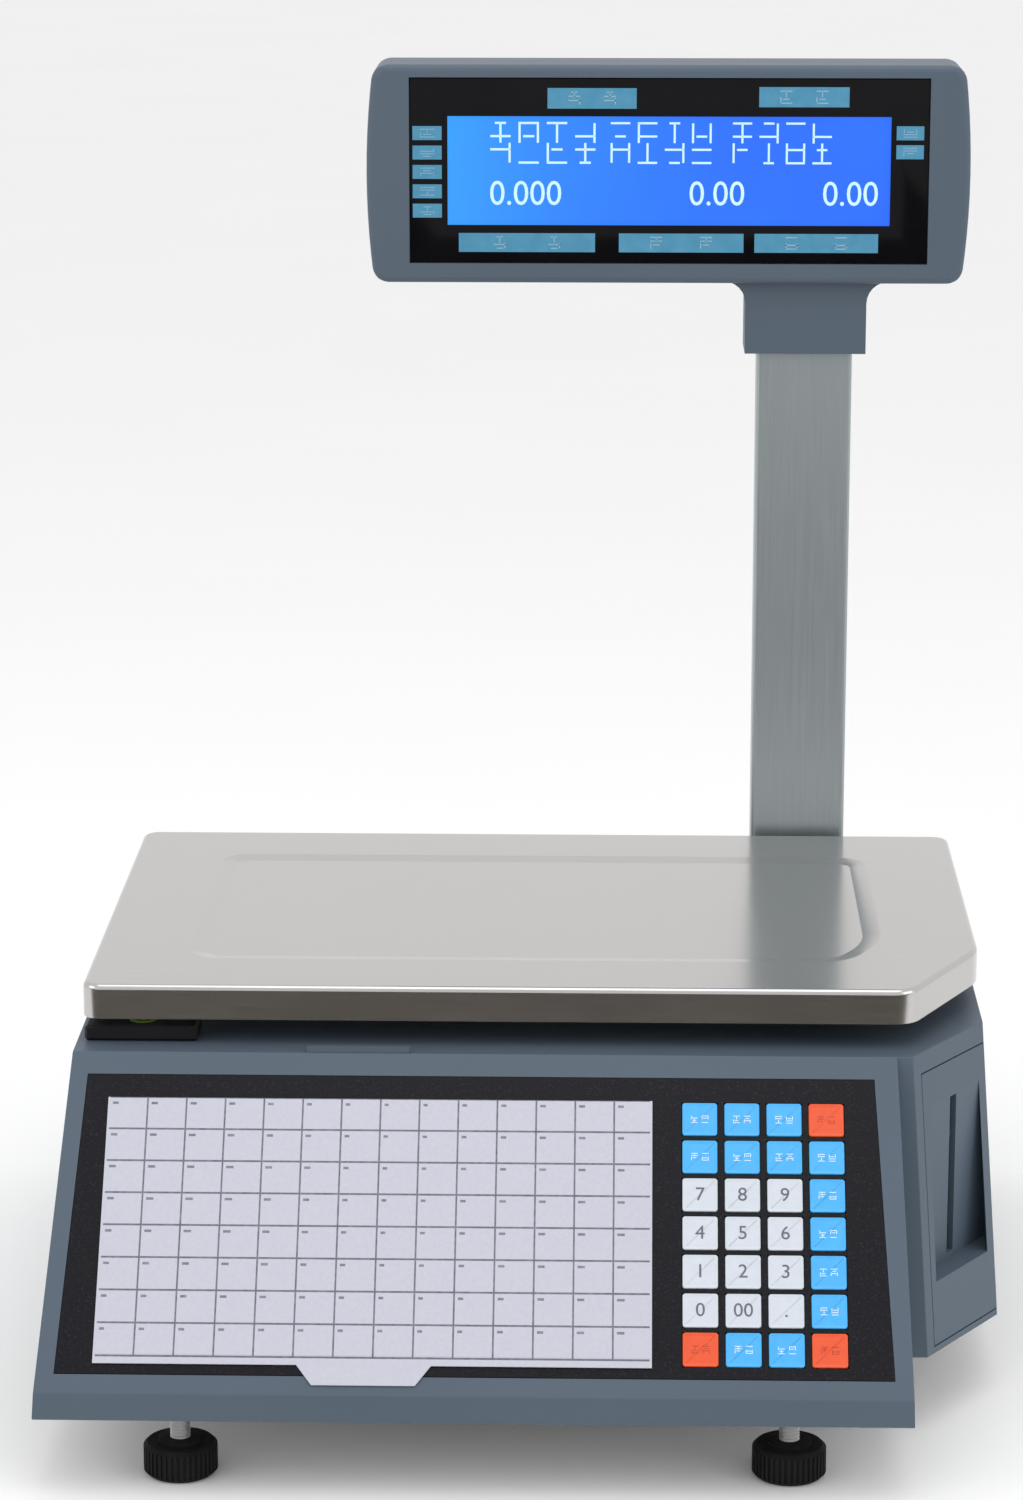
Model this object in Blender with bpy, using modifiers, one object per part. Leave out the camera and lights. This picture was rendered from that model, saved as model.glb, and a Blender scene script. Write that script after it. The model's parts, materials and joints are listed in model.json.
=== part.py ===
"""Counter scale with a label printer, a sloped keyboard and a display head on a pole.

Metres, +Z up. The front (keyboard side) faces -Y, and the origin is on the counter, under the
middle of the object. Each sub-part is one object; run it with blender --background --python part.py.
"""

from math import atan2, cos, hypot, pi, radians, sin, tan

import bmesh
import bpy
from mathutils import Matrix, Vector

# Housing: a keyboard section with a sloped front, and a printer section on its right.
BODY_W = 0.3765
BODY_D = 0.382
WALL = 0.003
RIM_Z = 0.0295
DECK_Z = 0.147
SIDE_DRAFT = tan(radians(3.5))
SECTION_DRAFT = tan(radians(1.8))
REAR_DRAFT = tan(radians(1.0))
EDGE_R = 0.0025
FIT = 0.0003  # gap left between pieces that touch
SLIDE_GAP = 0.0006  # gap round pieces that slide or turn

HALF_W = BODY_W / 2
HALF_D = BODY_D / 2
SECTION_STEP = 0.0408  # from the right side to the keyboard section's own right side, at the foot
SECTION_X = HALF_W - SECTION_STEP
PRINTER_FROM_X = SECTION_X - 0.045  # the printer section's shape starts here, inside the other

# The sloped keyboard panel: distances along it are measured up from its lower edge.
LIP_IN, LIP_H = 0.001, 0.0105
PANEL_RUN = 0.092
LIP_Y = -HALF_D + LIP_IN
LIP_Z = RIM_Z + LIP_H
DECK_FRONT_Y = LIP_Y + PANEL_RUN
PANEL_L = hypot(PANEL_RUN, DECK_Z - LIP_Z)
PANEL_ANGLE = atan2(DECK_Z - LIP_Z, PANEL_RUN)
PANEL_NORMAL = Vector((0, -sin(PANEL_ANGLE), cos(PANEL_ANGLE)))
PANEL_UP = Vector((0, cos(PANEL_ANGLE), sin(PANEL_ANGLE)))

# Printer section: its front leans back, and its corner is cut off at CORNER_ANGLE.
PRINTER_TOP_Y = DECK_FRONT_Y + 0.0005
PRINTER_LEAN = 0.179
PRINTER_FRONT_Y = PRINTER_TOP_Y - PRINTER_LEAN * (DECK_Z - RIM_Z)
CORNER_ANGLE = radians(33)
CORNER_OUT = Vector((cos(CORNER_ANGLE), -sin(CORNER_ANGLE), 0))
CORNER_ALONG = Vector((sin(CORNER_ANGLE), cos(CORNER_ANGLE), 0))
STRIP_W = 0.0026  # from the keyboard section's foot to the cut corner at deck height
CORNER_AT = CORNER_OUT.dot(Vector((SECTION_X + STRIP_W, PRINTER_TOP_Y, 0)))
CORNER_LEAN = 0.147

# Printer door: it wraps the cut corner and the right side, hinged at its rear edge.
DOOR_FRAME = 0.0045
DOOR_GAP = 0.0006
DOOR_TOP_Z = DECK_Z - 0.0085
DOOR_FOOT_Z = RIM_Z + 0.003
DOOR_LEFT_X = SECTION_X - 0.0075
DOOR_REAR_Y = HALF_D - 0.100
DOOR_REAR_GAP = 0.0025
HINGE_IN = 0.0022
DOOR_HINGE = Vector((HALF_W - HINGE_IN, DOOR_REAR_Y - 0.001, 0))
POCKET_AT = CORNER_AT + 0.0032  # floor of the label pocket, from the origin along CORNER_OUT
POCKET_FOOT_Z = DOOR_FOOT_Z + 0.024
POCKET_LEFT_X = SECTION_X + 0.0132
POCKET_LEFT_DRAFT = 0.047
POCKET_RIM = 0.003
POCKET_WALL = 0.0025
SLOT_W = 0.005
SLOT_L = 0.066
SLOT_RISE = 0.002  # from the pocket's foot to the slot
# The slot is measured along the cut corner, from where the pocket's floor meets its left side.
POCKET_LEFT_ALONG = (POCKET_LEFT_X - POCKET_AT * CORNER_OUT.x) / CORNER_ALONG.x
SLOT_ALONG = POCKET_LEFT_ALONG + 0.0133

# Keyboard: overlay, loose preset card and a block of keys, all tied to the panel's length.
OVERLAY_T = 0.0012
OVERLAY_LOW, OVERLAY_HIGH = 0.008, PANEL_L - 0.0098
OVERLAY_EDGE = (0.0083, 0.0140)  # from the foot's left side to the overlay, low and high
OVERLAY_LEFT = (-HALF_W + OVERLAY_EDGE[0], -HALF_W + OVERLAY_EDGE[1])
OVERLAY_RIGHT = (SECTION_X - 0.0077, SECTION_X - 0.0131)
KEY_ROWS, KEY_COLUMNS = 7, 4
KEY_MARGIN_TOP, KEY_MARGIN_FOOT = 0.0104, 0.0049
KEY_GAP = 0.00213
KEY_PITCH_UP = (OVERLAY_HIGH - OVERLAY_LOW - KEY_MARGIN_TOP - KEY_MARGIN_FOOT + KEY_GAP) / KEY_ROWS
KEY = KEY_PITCH_UP - KEY_GAP
KEY_PITCH_X = KEY + 0.00283
KEY_T = 0.0020
KEY_PROUD = 0.0010
KEY_TRAVEL = 0.0006
KEY_TOP_ROW = OVERLAY_HIGH - KEY_MARGIN_TOP - KEY / 2
KEY_BLOCK_RIGHT = OVERLAY_RIGHT[1] - 0.0121
KEY_FIRST_X = KEY_BLOCK_RIGHT - KEY / 2 - (KEY_COLUMNS - 1) * KEY_PITCH_X
KEY_NAMES = (
    ("f1", "f2", "f3", "clear"),
    ("f4", "f5", "f6", "f7"),
    ("7", "8", "9", "f8"),
    ("4", "5", "6", "f9"),
    ("1", "2", "3", "f10"),
    ("0", "00", "point", "f11"),
    ("feed", "f12", "f13", "print"),
)
ORANGE_KEYS = ("clear", "feed", "print")
CARD_LEFT = OVERLAY_LEFT[1] + 0.0086
CARD_RIGHT = KEY_FIRST_X - KEY / 2 - 0.0117
CARD_LOW, CARD_HIGH = OVERLAY_LOW + 0.004, OVERLAY_HIGH - 0.0099
CARD_T = 0.0005
TONGUE_LEFT = CARD_LEFT + 0.365 * (CARD_RIGHT - CARD_LEFT)
TONGUE_W, TONGUE_TAPER = 0.0514, 0.006
TONGUE_RIGHT = TONGUE_LEFT + TONGUE_W
TONGUE_LOW = OVERLAY_LOW - 0.004
RIB_W, RIB_D, RIB_H = 0.0405, 0.0025, 0.0022
RIB_X = TONGUE_LEFT + 0.0195
RIB_IN = 0.0005

# Display pole, behind the platter.
POLE_W, POLE_D, POLE_T = 0.0416, 0.022, 0.0015
POLE_X, POLE_Y = HALF_W - 0.0743, HALF_D - 0.018
POLE_CORNER_R = 0.002
POLE_SPIGOT_H = 0.034

# Weighing parts: platter on a spider, on one end of a beam load cell.
PLATTER_W = BODY_W - 0.0175
PLATTER_X = 0.001
PLATTER_FRONT = DECK_FRONT_Y + 0.011
PLATTER_REAR = POLE_Y - POLE_D / 2 - 0.009
PLATTER_D = PLATTER_REAR - PLATTER_FRONT
PLATTER_Y = (PLATTER_FRONT + PLATTER_REAR) / 2
PLATTER_TOP = DECK_Z + 0.024
PLATTER_SKIRT = 0.014
PLATTER_T = 0.0012
PLATTER_CORNER_R = 0.007
PLATTER_EDGE_R = 0.002
PLATTER_CUT_ANGLE = radians(27)
PLATTER_CUT_OUT = Vector((cos(PLATTER_CUT_ANGLE), -sin(PLATTER_CUT_ANGLE), 0))
PLATTER_CUT_X = PLATTER_X + PLATTER_W / 2 - 0.0305  # where the cut corner meets the front
PLATTER_PANEL_IN = 0.0383
PLATTER_PANEL_SUNK = 0.0010
PLATTER_PANEL_SLOPE = 0.0080  # width of the sloped step down to the panel
SPIDER_ARM_T, SPIDER_ARM_W = 0.006, 0.020
SPIDER_PAD_R = 0.009
SPIDER_PAD_IN = PLATTER_PANEL_IN + PLATTER_PANEL_SLOPE + SPIDER_PAD_R
SPIDER_RISE = 0.001  # of its arms above the platter's skirt
CELL_L, CELL_W, CELL_H = 0.150, 0.030, 0.022
CELL_HOLE_R = 0.0085
CELL_HOLE_PITCH = 0.028
CELL_WAIST = 0.6 * CELL_HOLE_R
CELL_END = 0.034
WEIGH_GAP = 0.0006  # under the spider, room for the beam's bending
SPIDER_HOLE_GAP = 0.004

# Base pan and feet.
PAN_T = 0.003
PAN_Z = RIM_Z + FIT
PAN_TOP = PAN_Z + PAN_T
CELL_FOOT_Z = PAN_TOP + 0.0422
FOOT_R, FOOT_H = 0.0143, 0.0125
FOOT_EDGE = 0.001
FOOT_COLLAR_H = 0.0015
STUD_R = 0.004
STUD_TOP = PAN_TOP + 0.0142
FEET = {
    "front_left": (-HALF_W + 0.0543, -HALF_D + 0.023),
    "front_right": (SECTION_X - 0.0465, -HALF_D + 0.026),
    "rear_left": (-HALF_W + 0.038, HALF_D - 0.041),
    "rear_right": (HALF_W - 0.038, HALF_D - 0.041),
}

# Display head on its pole.
HEAD_W, HEAD_D, HEAD_H = 0.2606, 0.040, 0.0939
HEAD_X, HEAD_Y = POLE_X - 0.0605, POLE_Y - 0.003
HEAD_FOOT = 0.4185
HEAD_TOP = HEAD_FOOT + HEAD_H
HEAD_BULGE = 0.0031  # how far its ends swell out at mid height
HEAD_CORNER_R = 0.0035
HEAD_R = 0.004
HEAD_WALL = 0.0025
HEAD_FACE_T = 0.003
POLE_TOP = HEAD_FOOT + 0.0075
NECK_W, NECK_D, NECK_R = 0.0527, 0.030, 0.0095
NECK_FOOT_Z = HEAD_FOOT - 0.0316
WINDOW_W, WINDOW_H, WINDOW_T = 0.2235, 0.0794, 0.0012
WINDOW_X, WINDOW_Z = HEAD_X + 0.0003, HEAD_FOOT + 0.0486
WINDOW_SUNK = 0.0006
WINDOW_SEAT = 0.003
LCD_W, LCD_H, LCD_T = 0.1917, 0.0472, 0.010
LCD_X, LCD_Z = WINDOW_X - 0.0002, WINDOW_Z - 0.0001

# Printer mechanism: every shaft stands upright on the chassis plate.
LABEL_W = 0.060
ROLL_R, ROLL_CORE_R = 0.040, 0.0130
CHASSIS_T = 0.002
CHASSIS_RIGHT = HALF_W - SIDE_DRAFT * (DECK_Z - RIM_Z) - WALL - 0.006
CHASSIS_LEFT = CHASSIS_RIGHT - 2 * ROLL_R - 0.008
CHASSIS_FRONT, CHASSIS_REAR = PRINTER_TOP_Y + 0.004, DOOR_REAR_Y - 0.011
CHASSIS_Z = PAN_TOP + 0.0252
CHASSIS_TOP = DOOR_TOP_Z - 0.0025
CHASSIS_CORNER_AT = POCKET_AT - 0.0105
LABEL_FOOT_Z = CHASSIS_Z + 0.006
ROLL_AT = (CHASSIS_RIGHT - ROLL_R, CHASSIS_REAR - ROLL_R - 0.014)
SPINDLE_R, SPINDLE_FLANGE_R = ROLL_CORE_R - SLIDE_GAP, 0.030
SPINDLE_PROUD = 0.004
PLATEN_R, PLATEN_SHAFT_R = 0.007, 0.003
PLATEN_OUT = POCKET_AT - 0.0220
PLATEN_GAP = 0.0004
SHAFT_PROUD = 0.005
HEAD_PLATE_T = 0.006
HEAD_PLATE_OUT = (POCKET_AT - 0.032, POCKET_AT - 0.011)
HEAD_PLATE_LOW, HEAD_PLATE_HIGH = 0.003, 0.002  # past the label's lower and upper edge
HEAD_PIN_R = 0.0025
HEAD_PIN_IN = 0.002
SPOOL_CORE_R, SPOOL_FLANGE_R, SPOOL_FLANGE_T = 0.012, 0.020, 0.0015
SPOOL_AT = (CHASSIS_LEFT + CHASSIS_T + SPOOL_FLANGE_R + 0.004, CHASSIS_FRONT + SPOOL_FLANGE_R + 0.028)
SPOOL_RISE, SPOOL_SPARE = 0.002, 0.006

# Electrics at the rear.
INLET_W, INLET_H, INLET_D = 0.050, 0.024, 0.022
INLET_X, INLET_Z = -HALF_W + 0.0493, PAN_TOP + 0.0302
SOCKET_X = INLET_X - 0.010
SOCKET_W, SOCKET_H, SOCKET_D = 0.024, 0.016, 0.015
PRONG_W, PRONG_T, PRONG_L, PRONG_PITCH, PRONG_LOW = 0.002, 0.004, 0.010, 0.007, 0.004
SWITCH_W, SWITCH_H, SWITCH_D = 0.013, 0.017, 0.012
SWITCH_SUNK = 0.0010
SWITCH_CLEAR = 0.0015  # room for the rocker's tilt
SWITCH_X = INLET_X + 0.017
SWITCH_TILT = radians(8)
BOARD_W, BOARD_D, BOARD_T = 0.130, 0.092, 0.0016
BOARD_X = INLET_X + INLET_W / 2 + 0.004 + BOARD_W / 2
BOARD_REAR = HALF_D - 0.007
BOARD_Z = PAN_TOP + 0.0172
BOSS_R = 0.004
PORTS = {  # x from the board's middle, width, height
    "network": (-0.050, 0.016, 0.0135),
    "serial": (-0.013, 0.031, 0.0125),
    "usb": (0.023, 0.014, 0.007),
}
PORT_D = 0.015
PORT_RIM, PORT_MOUTH_D = 0.0015, 0.003
PSU_W, PSU_D, PSU_H = 0.050, 0.100, 0.030
PSU_X, PSU_Y = -HALF_W + 0.0423, HALF_D - 0.106
LEVEL_W, LEVEL_D, LEVEL_H = 0.045, 0.020, 0.0065
LEVEL_LOW = Vector((-HALF_W + 0.0103, DECK_FRONT_Y + 0.013, DECK_Z + FIT))
LEVEL_HIGH = LEVEL_LOW + Vector((LEVEL_W, LEVEL_D, LEVEL_H - FIT))
LEVEL_VIAL_R, LEVEL_VIAL_D = 0.006, 0.0015
SOFT_EDGE = 0.001  # small edge rounding on moulded and folded pieces

FAR = 0.3  # well outside the object, for cutters that run through


def clear_scene():
    for obj in list(bpy.data.objects):
        bpy.data.objects.remove(obj, do_unlink=True)


def new_collection(name):
    collection = bpy.data.collections.new(name)
    bpy.context.scene.collection.children.link(collection)
    return collection


clear_scene()
PARTS = new_collection("label_printing_scale")
CUTTERS = new_collection("cutters")
CUTTERS.hide_render = True


def material(name, colour, roughness, metallic=0.0):
    made = bpy.data.materials.new(name)
    made.use_nodes = True
    shader = made.node_tree.nodes["Principled BSDF"]
    shader.inputs["Base Color"].default_value = (*colour, 1)
    shader.inputs["Roughness"].default_value = roughness
    shader.inputs["Metallic"].default_value = metallic
    made.diffuse_color = (*colour, 1)
    return made


SLATE = material("slate_housing_plastic", (0.126, 0.160, 0.201), 0.45)
BLACK = material("black_plastic", (0.012, 0.012, 0.014), 0.5)
GREY_SHEET = material("zinc_plated_sheet", (0.52, 0.53, 0.54), 0.4, 1.0)
STEEL = material("stainless_steel", (0.62, 0.60, 0.57), 0.28, 1.0)
ALUMINIUM = material("cast_aluminium", (0.68, 0.69, 0.70), 0.4, 1.0)
POLE_GREY = material("anodised_pole", (0.33, 0.36, 0.38), 0.35, 0.9)
RUBBER = material("black_rubber", (0.015, 0.015, 0.015), 0.85)
PAPER = material("white_card", (0.80, 0.81, 0.84), 0.6)
WHITE_KEY = material("white_key", (0.82, 0.83, 0.86), 0.4)
BLUE_KEY = material("blue_key", (0.05, 0.36, 0.72), 0.4)
ORANGE_KEY = material("orange_key", (0.75, 0.12, 0.05), 0.4)
GREEN_BOARD = material("circuit_board", (0.02, 0.16, 0.06), 0.5)
PANE = material("black_pane", (0.008, 0.009, 0.012), 0.12)
LCD_BLUE = material("blue_lcd", (0.03, 0.12, 0.85), 0.3)


def place(obj, collection):
    for old in list(obj.users_collection):
        old.objects.unlink(obj)
    collection.objects.link(obj)
    return obj


def as_part(obj, look):
    place(obj, PARTS)
    obj.data.materials.clear()
    obj.data.materials.append(look)
    return obj


def as_cutter(obj):
    place(obj, CUTTERS)
    obj.hide_render = True
    obj.display_type = "WIRE"
    return obj


def boolean(obj, other, operation):
    as_cutter(other)
    step = obj.modifiers.new(other.name, "BOOLEAN")
    step.operation = operation
    step.object = other
    step.solver = "EXACT"
    return obj


def cut(obj, *cutters):
    for cutter in cutters:
        boolean(obj, cutter, "DIFFERENCE")
    return obj


def join(obj, *others):
    for other in others:
        boolean(obj, other, "UNION")
    return obj


def bevel(obj, width, segments=1, angle=30):
    step = obj.modifiers.new("round_edges", "BEVEL")
    step.width = width
    step.segments = segments
    step.limit_method = "ANGLE"
    step.angle_limit = radians(angle)
    return obj


def smooth(obj, angle=35):
    obj.data.shade_smooth()
    obj.data.set_sharp_from_angle(angle=radians(angle))
    return obj


def box(name, low, high):
    """A box between two corners, with its origin at its centre."""
    low, high = Vector(low), Vector(high)
    bpy.ops.mesh.primitive_cube_add(size=1, location=(low + high) / 2)
    obj = bpy.context.object
    obj.name = name
    obj.data.transform(Matrix.Diagonal((*(high - low), 1)))
    return obj


def plane(point, outward, inset=0.0):
    """A cutting plane (point, outward normal), moved in by inset."""
    outward = Vector(outward).normalized()
    return Vector(point) - outward * inset, outward


def block(name, planes, low, high):
    """A box trimmed by planes: what lies outside any of them is taken away."""
    obj = box(name, low, high)
    offset = obj.location.copy()
    bm = bmesh.new()
    bm.from_mesh(obj.data)
    for point, outward in planes:
        everything = bm.verts[:] + bm.edges[:] + bm.faces[:]
        bmesh.ops.bisect_plane(
            bm, geom=everything, plane_co=point - offset, plane_no=outward, clear_outer=True
        )
        bmesh.ops.holes_fill(bm, edges=bm.edges[:])
    bmesh.ops.recalc_face_normals(bm, faces=bm.faces[:])
    bm.to_mesh(obj.data)
    bm.free()
    return obj


def turned(name, profile, centre, steps=32, ring=False):
    """A profile of (radius, height) turned round an upright axis; a ring's profile closes on itself."""
    mesh = bpy.data.meshes.new(name)
    edges = [(i, i + 1) for i in range(len(profile) - 1)]
    if ring:
        edges.append((len(profile) - 1, 0))
    mesh.from_pydata([(radius, 0, height) for radius, height in profile], edges, [])
    obj = bpy.data.objects.new(name, mesh)
    obj.location = centre
    CUTTERS.objects.link(obj)
    screw = obj.modifiers.new("turn", "SCREW")
    screw.steps = screw.render_steps = steps
    screw.use_merge_vertices = True
    screw.merge_threshold = 0.00005
    screw.use_smooth_shade = True
    return obj


def rod(name, radius, foot_z, top_z, at, steps=24):
    """An upright solid cylinder."""
    height = top_z - foot_z
    profile = [(0, height), (radius, height), (radius, 0), (0, 0)]
    return turned(name, profile, (at[0], at[1], foot_z), steps)


def plate(name, outline, thickness, matrix=None):
    """A flat outline given as (x, y) points, thickened upwards from its own plane, as a mesh."""
    curve = bpy.data.curves.new(name, "CURVE")
    curve.dimensions = "2D"
    curve.fill_mode = "BOTH"
    curve.extrude = thickness / 2
    spline = curve.splines.new("POLY")
    spline.points.add(len(outline) - 1)
    for point, (x, y) in zip(spline.points, outline):
        point.co = (x, y, 0, 1)
    spline.use_cyclic_u = True
    source = bpy.data.objects.new(name, curve)
    CUTTERS.objects.link(source)
    graph = bpy.context.evaluated_depsgraph_get()
    mesh = bpy.data.meshes.new_from_object(source.evaluated_get(graph))
    bm = bmesh.new()
    bm.from_mesh(mesh)
    bmesh.ops.remove_doubles(bm, verts=bm.verts[:], dist=1e-6)
    bmesh.ops.recalc_face_normals(bm, faces=bm.faces[:])
    bm.to_mesh(mesh)
    bm.free()
    bpy.data.objects.remove(source, do_unlink=True)
    mesh.name = name
    obj = bpy.data.objects.new(name, mesh)
    obj.matrix_world = (matrix or Matrix()) @ Matrix.Translation((0, 0, thickness / 2))
    CUTTERS.objects.link(obj)
    return obj


def on_panel(x, up, out):
    """A point on the sloped panel: x, distance up the slope, height above its surface."""
    return Vector((x, LIP_Y, LIP_Z)) + PANEL_UP * up + PANEL_NORMAL * out


def panel_frame(out=0.0):
    """Local X across the panel, Y up it and Z out of it, at the height out above it."""
    return Matrix.Translation(on_panel(0, 0, out)) @ Matrix.Rotation(PANEL_ANGLE, 4, "X")


def corner_point(along, out, z):
    """A point by its distance along the cut corner and out from the origin across it."""
    return CORNER_ALONG * along + CORNER_OUT * out + Vector((0, 0, z))


# ---------------------------------------------------------------- housing


def shared_planes(inset):
    return [
        plane((0, HALF_D, RIM_Z), (0, 1, REAR_DRAFT), inset),
        plane((0, 0, DECK_Z), (0, 0, 1), inset),
    ]


def keyboard_planes(inset=0.0):
    return [
        plane((-HALF_W, 0, RIM_Z), (-1, 0, SIDE_DRAFT), inset),
        plane((SECTION_X, 0, RIM_Z), (1, 0, SECTION_DRAFT), inset),
        plane((0, -HALF_D, RIM_Z), (0, -1, LIP_IN / LIP_H), inset),
        plane(on_panel(0, 0, 0), PANEL_NORMAL, inset),
    ]


def corner_plane(inset=0.0):
    outward = CORNER_OUT + Vector((0, 0, CORNER_LEAN))
    return plane(corner_point(0, CORNER_AT, DECK_Z), outward, inset)


def right_plane(inset=0.0):
    return plane((HALF_W, 0, RIM_Z), (1, 0, SIDE_DRAFT), inset)


def printer_front_plane(inset=0.0):
    return plane((0, PRINTER_FRONT_Y, RIM_Z), (0, -1, PRINTER_LEAN), inset)


def printer_planes(inset=0.0):
    return [right_plane(inset), corner_plane(inset), printer_front_plane(inset)]


def sections(name, inset, low_z, high_z):
    """Keyboard section and printer section in one body, both moved in by inset.

    Both run past the heights and the rear that they share, which one block then trims off."""
    body = block(name, keyboard_planes(inset), (-FAR, -FAR, 0), (FAR, FAR, FAR))
    low, high = (PRINTER_FROM_X, -FAR, -WALL), (FAR, FAR - WALL, FAR - WALL)
    join(body, block(name + "_printer", printer_planes(inset), low, high))
    bounds = (-FAR, -FAR, low_z), (FAR, FAR, high_z)
    return boolean(body, block(name + "_bounds", shared_planes(inset), *bounds), "INTERSECT")


def door_opening():
    """Takes the corner and the right side away, down to a sill and up to a band below the deck."""
    frame = printer_front_plane(DOOR_FRAME)
    rear_y = DOOR_REAR_Y + DOOR_REAR_GAP
    low = (DOOR_LEFT_X - DOOR_GAP, -FAR, DOOR_FOOT_Z - DOOR_GAP)
    return block("door_opening", [frame], low, (FAR, rear_y, DOOR_TOP_Z + DOOR_GAP))


def overlay_outline(grow=0.0):
    return [
        (OVERLAY_LEFT[0] - grow, OVERLAY_LOW - grow),
        (OVERLAY_RIGHT[0] + grow, OVERLAY_LOW - grow),
        (OVERLAY_RIGHT[1] + grow, OVERLAY_HIGH + grow),
        (OVERLAY_LEFT[1] - grow, OVERLAY_HIGH + grow),
    ]


def square(half):
    return [(-half, -half), (half, -half), (half, half), (-half, half)]


def key_centre(row, column):
    return KEY_FIRST_X + column * KEY_PITCH_X, KEY_TOP_ROW - row * KEY_PITCH_UP


def key_block_outline(margin):
    right, top = key_centre(0, len(KEY_NAMES[0]) - 1)
    left, bottom = key_centre(len(KEY_NAMES) - 1, 0)
    left, bottom = left - KEY / 2 - margin, bottom - KEY / 2 - margin
    right, top = right + KEY / 2 + margin, top + KEY / 2 + margin
    return [(left, bottom), (right, bottom), (right, top), (left, top)]


def make_housing():
    housing = bevel(sections("upper_housing", 0.0, RIM_Z, FAR / 2), EDGE_R, 2)
    rib_y = DECK_FRONT_Y + RIB_IN
    rib_low = (RIB_X - RIB_W / 2, rib_y, DECK_Z - WALL / 2)
    join(housing, box("card_rib", rib_low, (RIB_X + RIB_W / 2, rib_y + RIB_D, DECK_Z + RIB_H)))
    cut(housing, sections("cavity", WALL, WALL, FAR / 2))
    cut(housing, door_opening())
    recess = plate("overlay_recess", overlay_outline(FIT), WALL, panel_frame(-OVERLAY_T - FIT))
    window = plate("key_window", key_block_outline(KEY_GAP / 2), 4 * WALL, panel_frame(-3 * WALL))
    cut(housing, recess, window)
    cut(housing, spider_hole(), pole_hole(), *rear_openings())
    return as_part(housing, SLATE)


def spider_hole():
    half = CELL_END / 2 + SPIDER_HOLE_GAP
    x, y = spider_post_centre()
    high = (x + half, y + half, DECK_Z + WALL)
    return box("spider_hole", (x - half, y - half, DECK_Z - 2 * WALL), high)


def pole_hole():
    half_x, half_y = POLE_W / 2 + FIT, POLE_D / 2 + FIT
    return box("pole_hole", *pole_box(half_x, half_y, DECK_Z - 2 * WALL, DECK_Z + WALL))


def pole_box(half_x, half_y, low_z, high_z):
    return (POLE_X - half_x, POLE_Y - half_y, low_z), (POLE_X + half_x, POLE_Y + half_y, high_z)


def rear_opening(name, x, z, width, height):
    low = (x - width / 2 - FIT, HALF_D - 4 * WALL, z - height / 2 - FIT)
    return box(name, low, (x + width / 2 + FIT, HALF_D + WALL, z + height / 2 + FIT))


def rear_openings():
    made = [rear_opening("inlet_opening", INLET_X, INLET_Z, INLET_W, INLET_H)]
    for name, (across_board, width, height) in PORTS.items():
        x = BOARD_X + across_board
        made.append(rear_opening(name + "_opening", x, port_z(height), width, height))
    return made


def port_z(height):
    return BOARD_Z + BOARD_T / 2 + height / 2


def make_base_pan():
    """Bottom plate inside the housing's foot, with the board's bosses and a spigot for the pole."""
    pan = sections("base_pan", WALL + SLIDE_GAP, PAN_Z, PAN_TOP)
    inner_x, inner_y = POLE_W / 2 - POLE_T - FIT, POLE_D / 2 - POLE_T - FIT
    spigot = pole_box(inner_x, inner_y, PAN_Z + PAN_T / 2, PAN_TOP + POLE_SPIGOT_H)
    join(pan, box("pole_spigot", *spigot))
    for i, (x, y) in enumerate(board_corners()):
        join(pan, rod(f"board_boss_{i}", BOSS_R, PAN_Z + PAN_T / 2, BOARD_Z - FIT, (x, y), 12))
    for name, at in FEET.items():
        cut(pan, rod(f"{name}_foot_hole", STUD_R + SLIDE_GAP, 0, 2 * PAN_Z, at, 20))
    return as_part(pan, GREY_SHEET)


def make_feet():
    """Levelling feet: a rubber-covered disc on a threaded stud."""
    for name, (x, y) in FEET.items():
        neck = FOOT_H + FOOT_COLLAR_H
        profile = [
            (0, STUD_TOP), (STUD_R, STUD_TOP), (STUD_R, neck), (2 * STUD_R, neck), (2 * STUD_R, FOOT_H),
            (FOOT_R - FOOT_EDGE, FOOT_H), (FOOT_R, FOOT_H - FOOT_EDGE), (FOOT_R, FOOT_EDGE),
            (FOOT_R - FOOT_EDGE, 0), (0, 0),
        ]
        as_part(turned(f"foot_{name}", profile, (x, y, 0), 28), RUBBER)


# ---------------------------------------------------------------- keyboard


def make_overlay():
    overlay = plate("keypad_overlay", overlay_outline(), OVERLAY_T, panel_frame(-OVERLAY_T))
    half = KEY / 2 + FIT
    for row, names in enumerate(KEY_NAMES):
        for column, name in enumerate(names):
            x, up = key_centre(row, column)
            outline = [(x + dx, up + dy) for dx, dy in square(half)]
            hole = plate(f"key_{name}_hole", outline, 3 * OVERLAY_T, panel_frame(-2 * OVERLAY_T))
            cut(overlay, hole)
    return as_part(overlay, BLACK)


def make_preset_card():
    """Loose card of preset keys on the overlay, with a pull tongue at its lower edge."""
    outline = [
        (CARD_LEFT, CARD_LOW), (TONGUE_LEFT, CARD_LOW), (TONGUE_LEFT + TONGUE_TAPER, TONGUE_LOW),
        (TONGUE_RIGHT - TONGUE_TAPER, TONGUE_LOW), (TONGUE_RIGHT, CARD_LOW), (CARD_RIGHT, CARD_LOW),
        (CARD_RIGHT, CARD_HIGH), (CARD_LEFT, CARD_HIGH),
    ]
    return as_part(plate("preset_key_card", outline, CARD_T, panel_frame(FIT)), PAPER)


def make_keypad_board():
    """Switch board behind the keys, clear of them at the end of their travel."""
    top = KEY_PROUD - KEY_T - KEY_TRAVEL - FIT
    board = plate("keypad_board", key_block_outline(0.0), BOARD_T, panel_frame(top - BOARD_T))
    return as_part(board, GREEN_BOARD)


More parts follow.
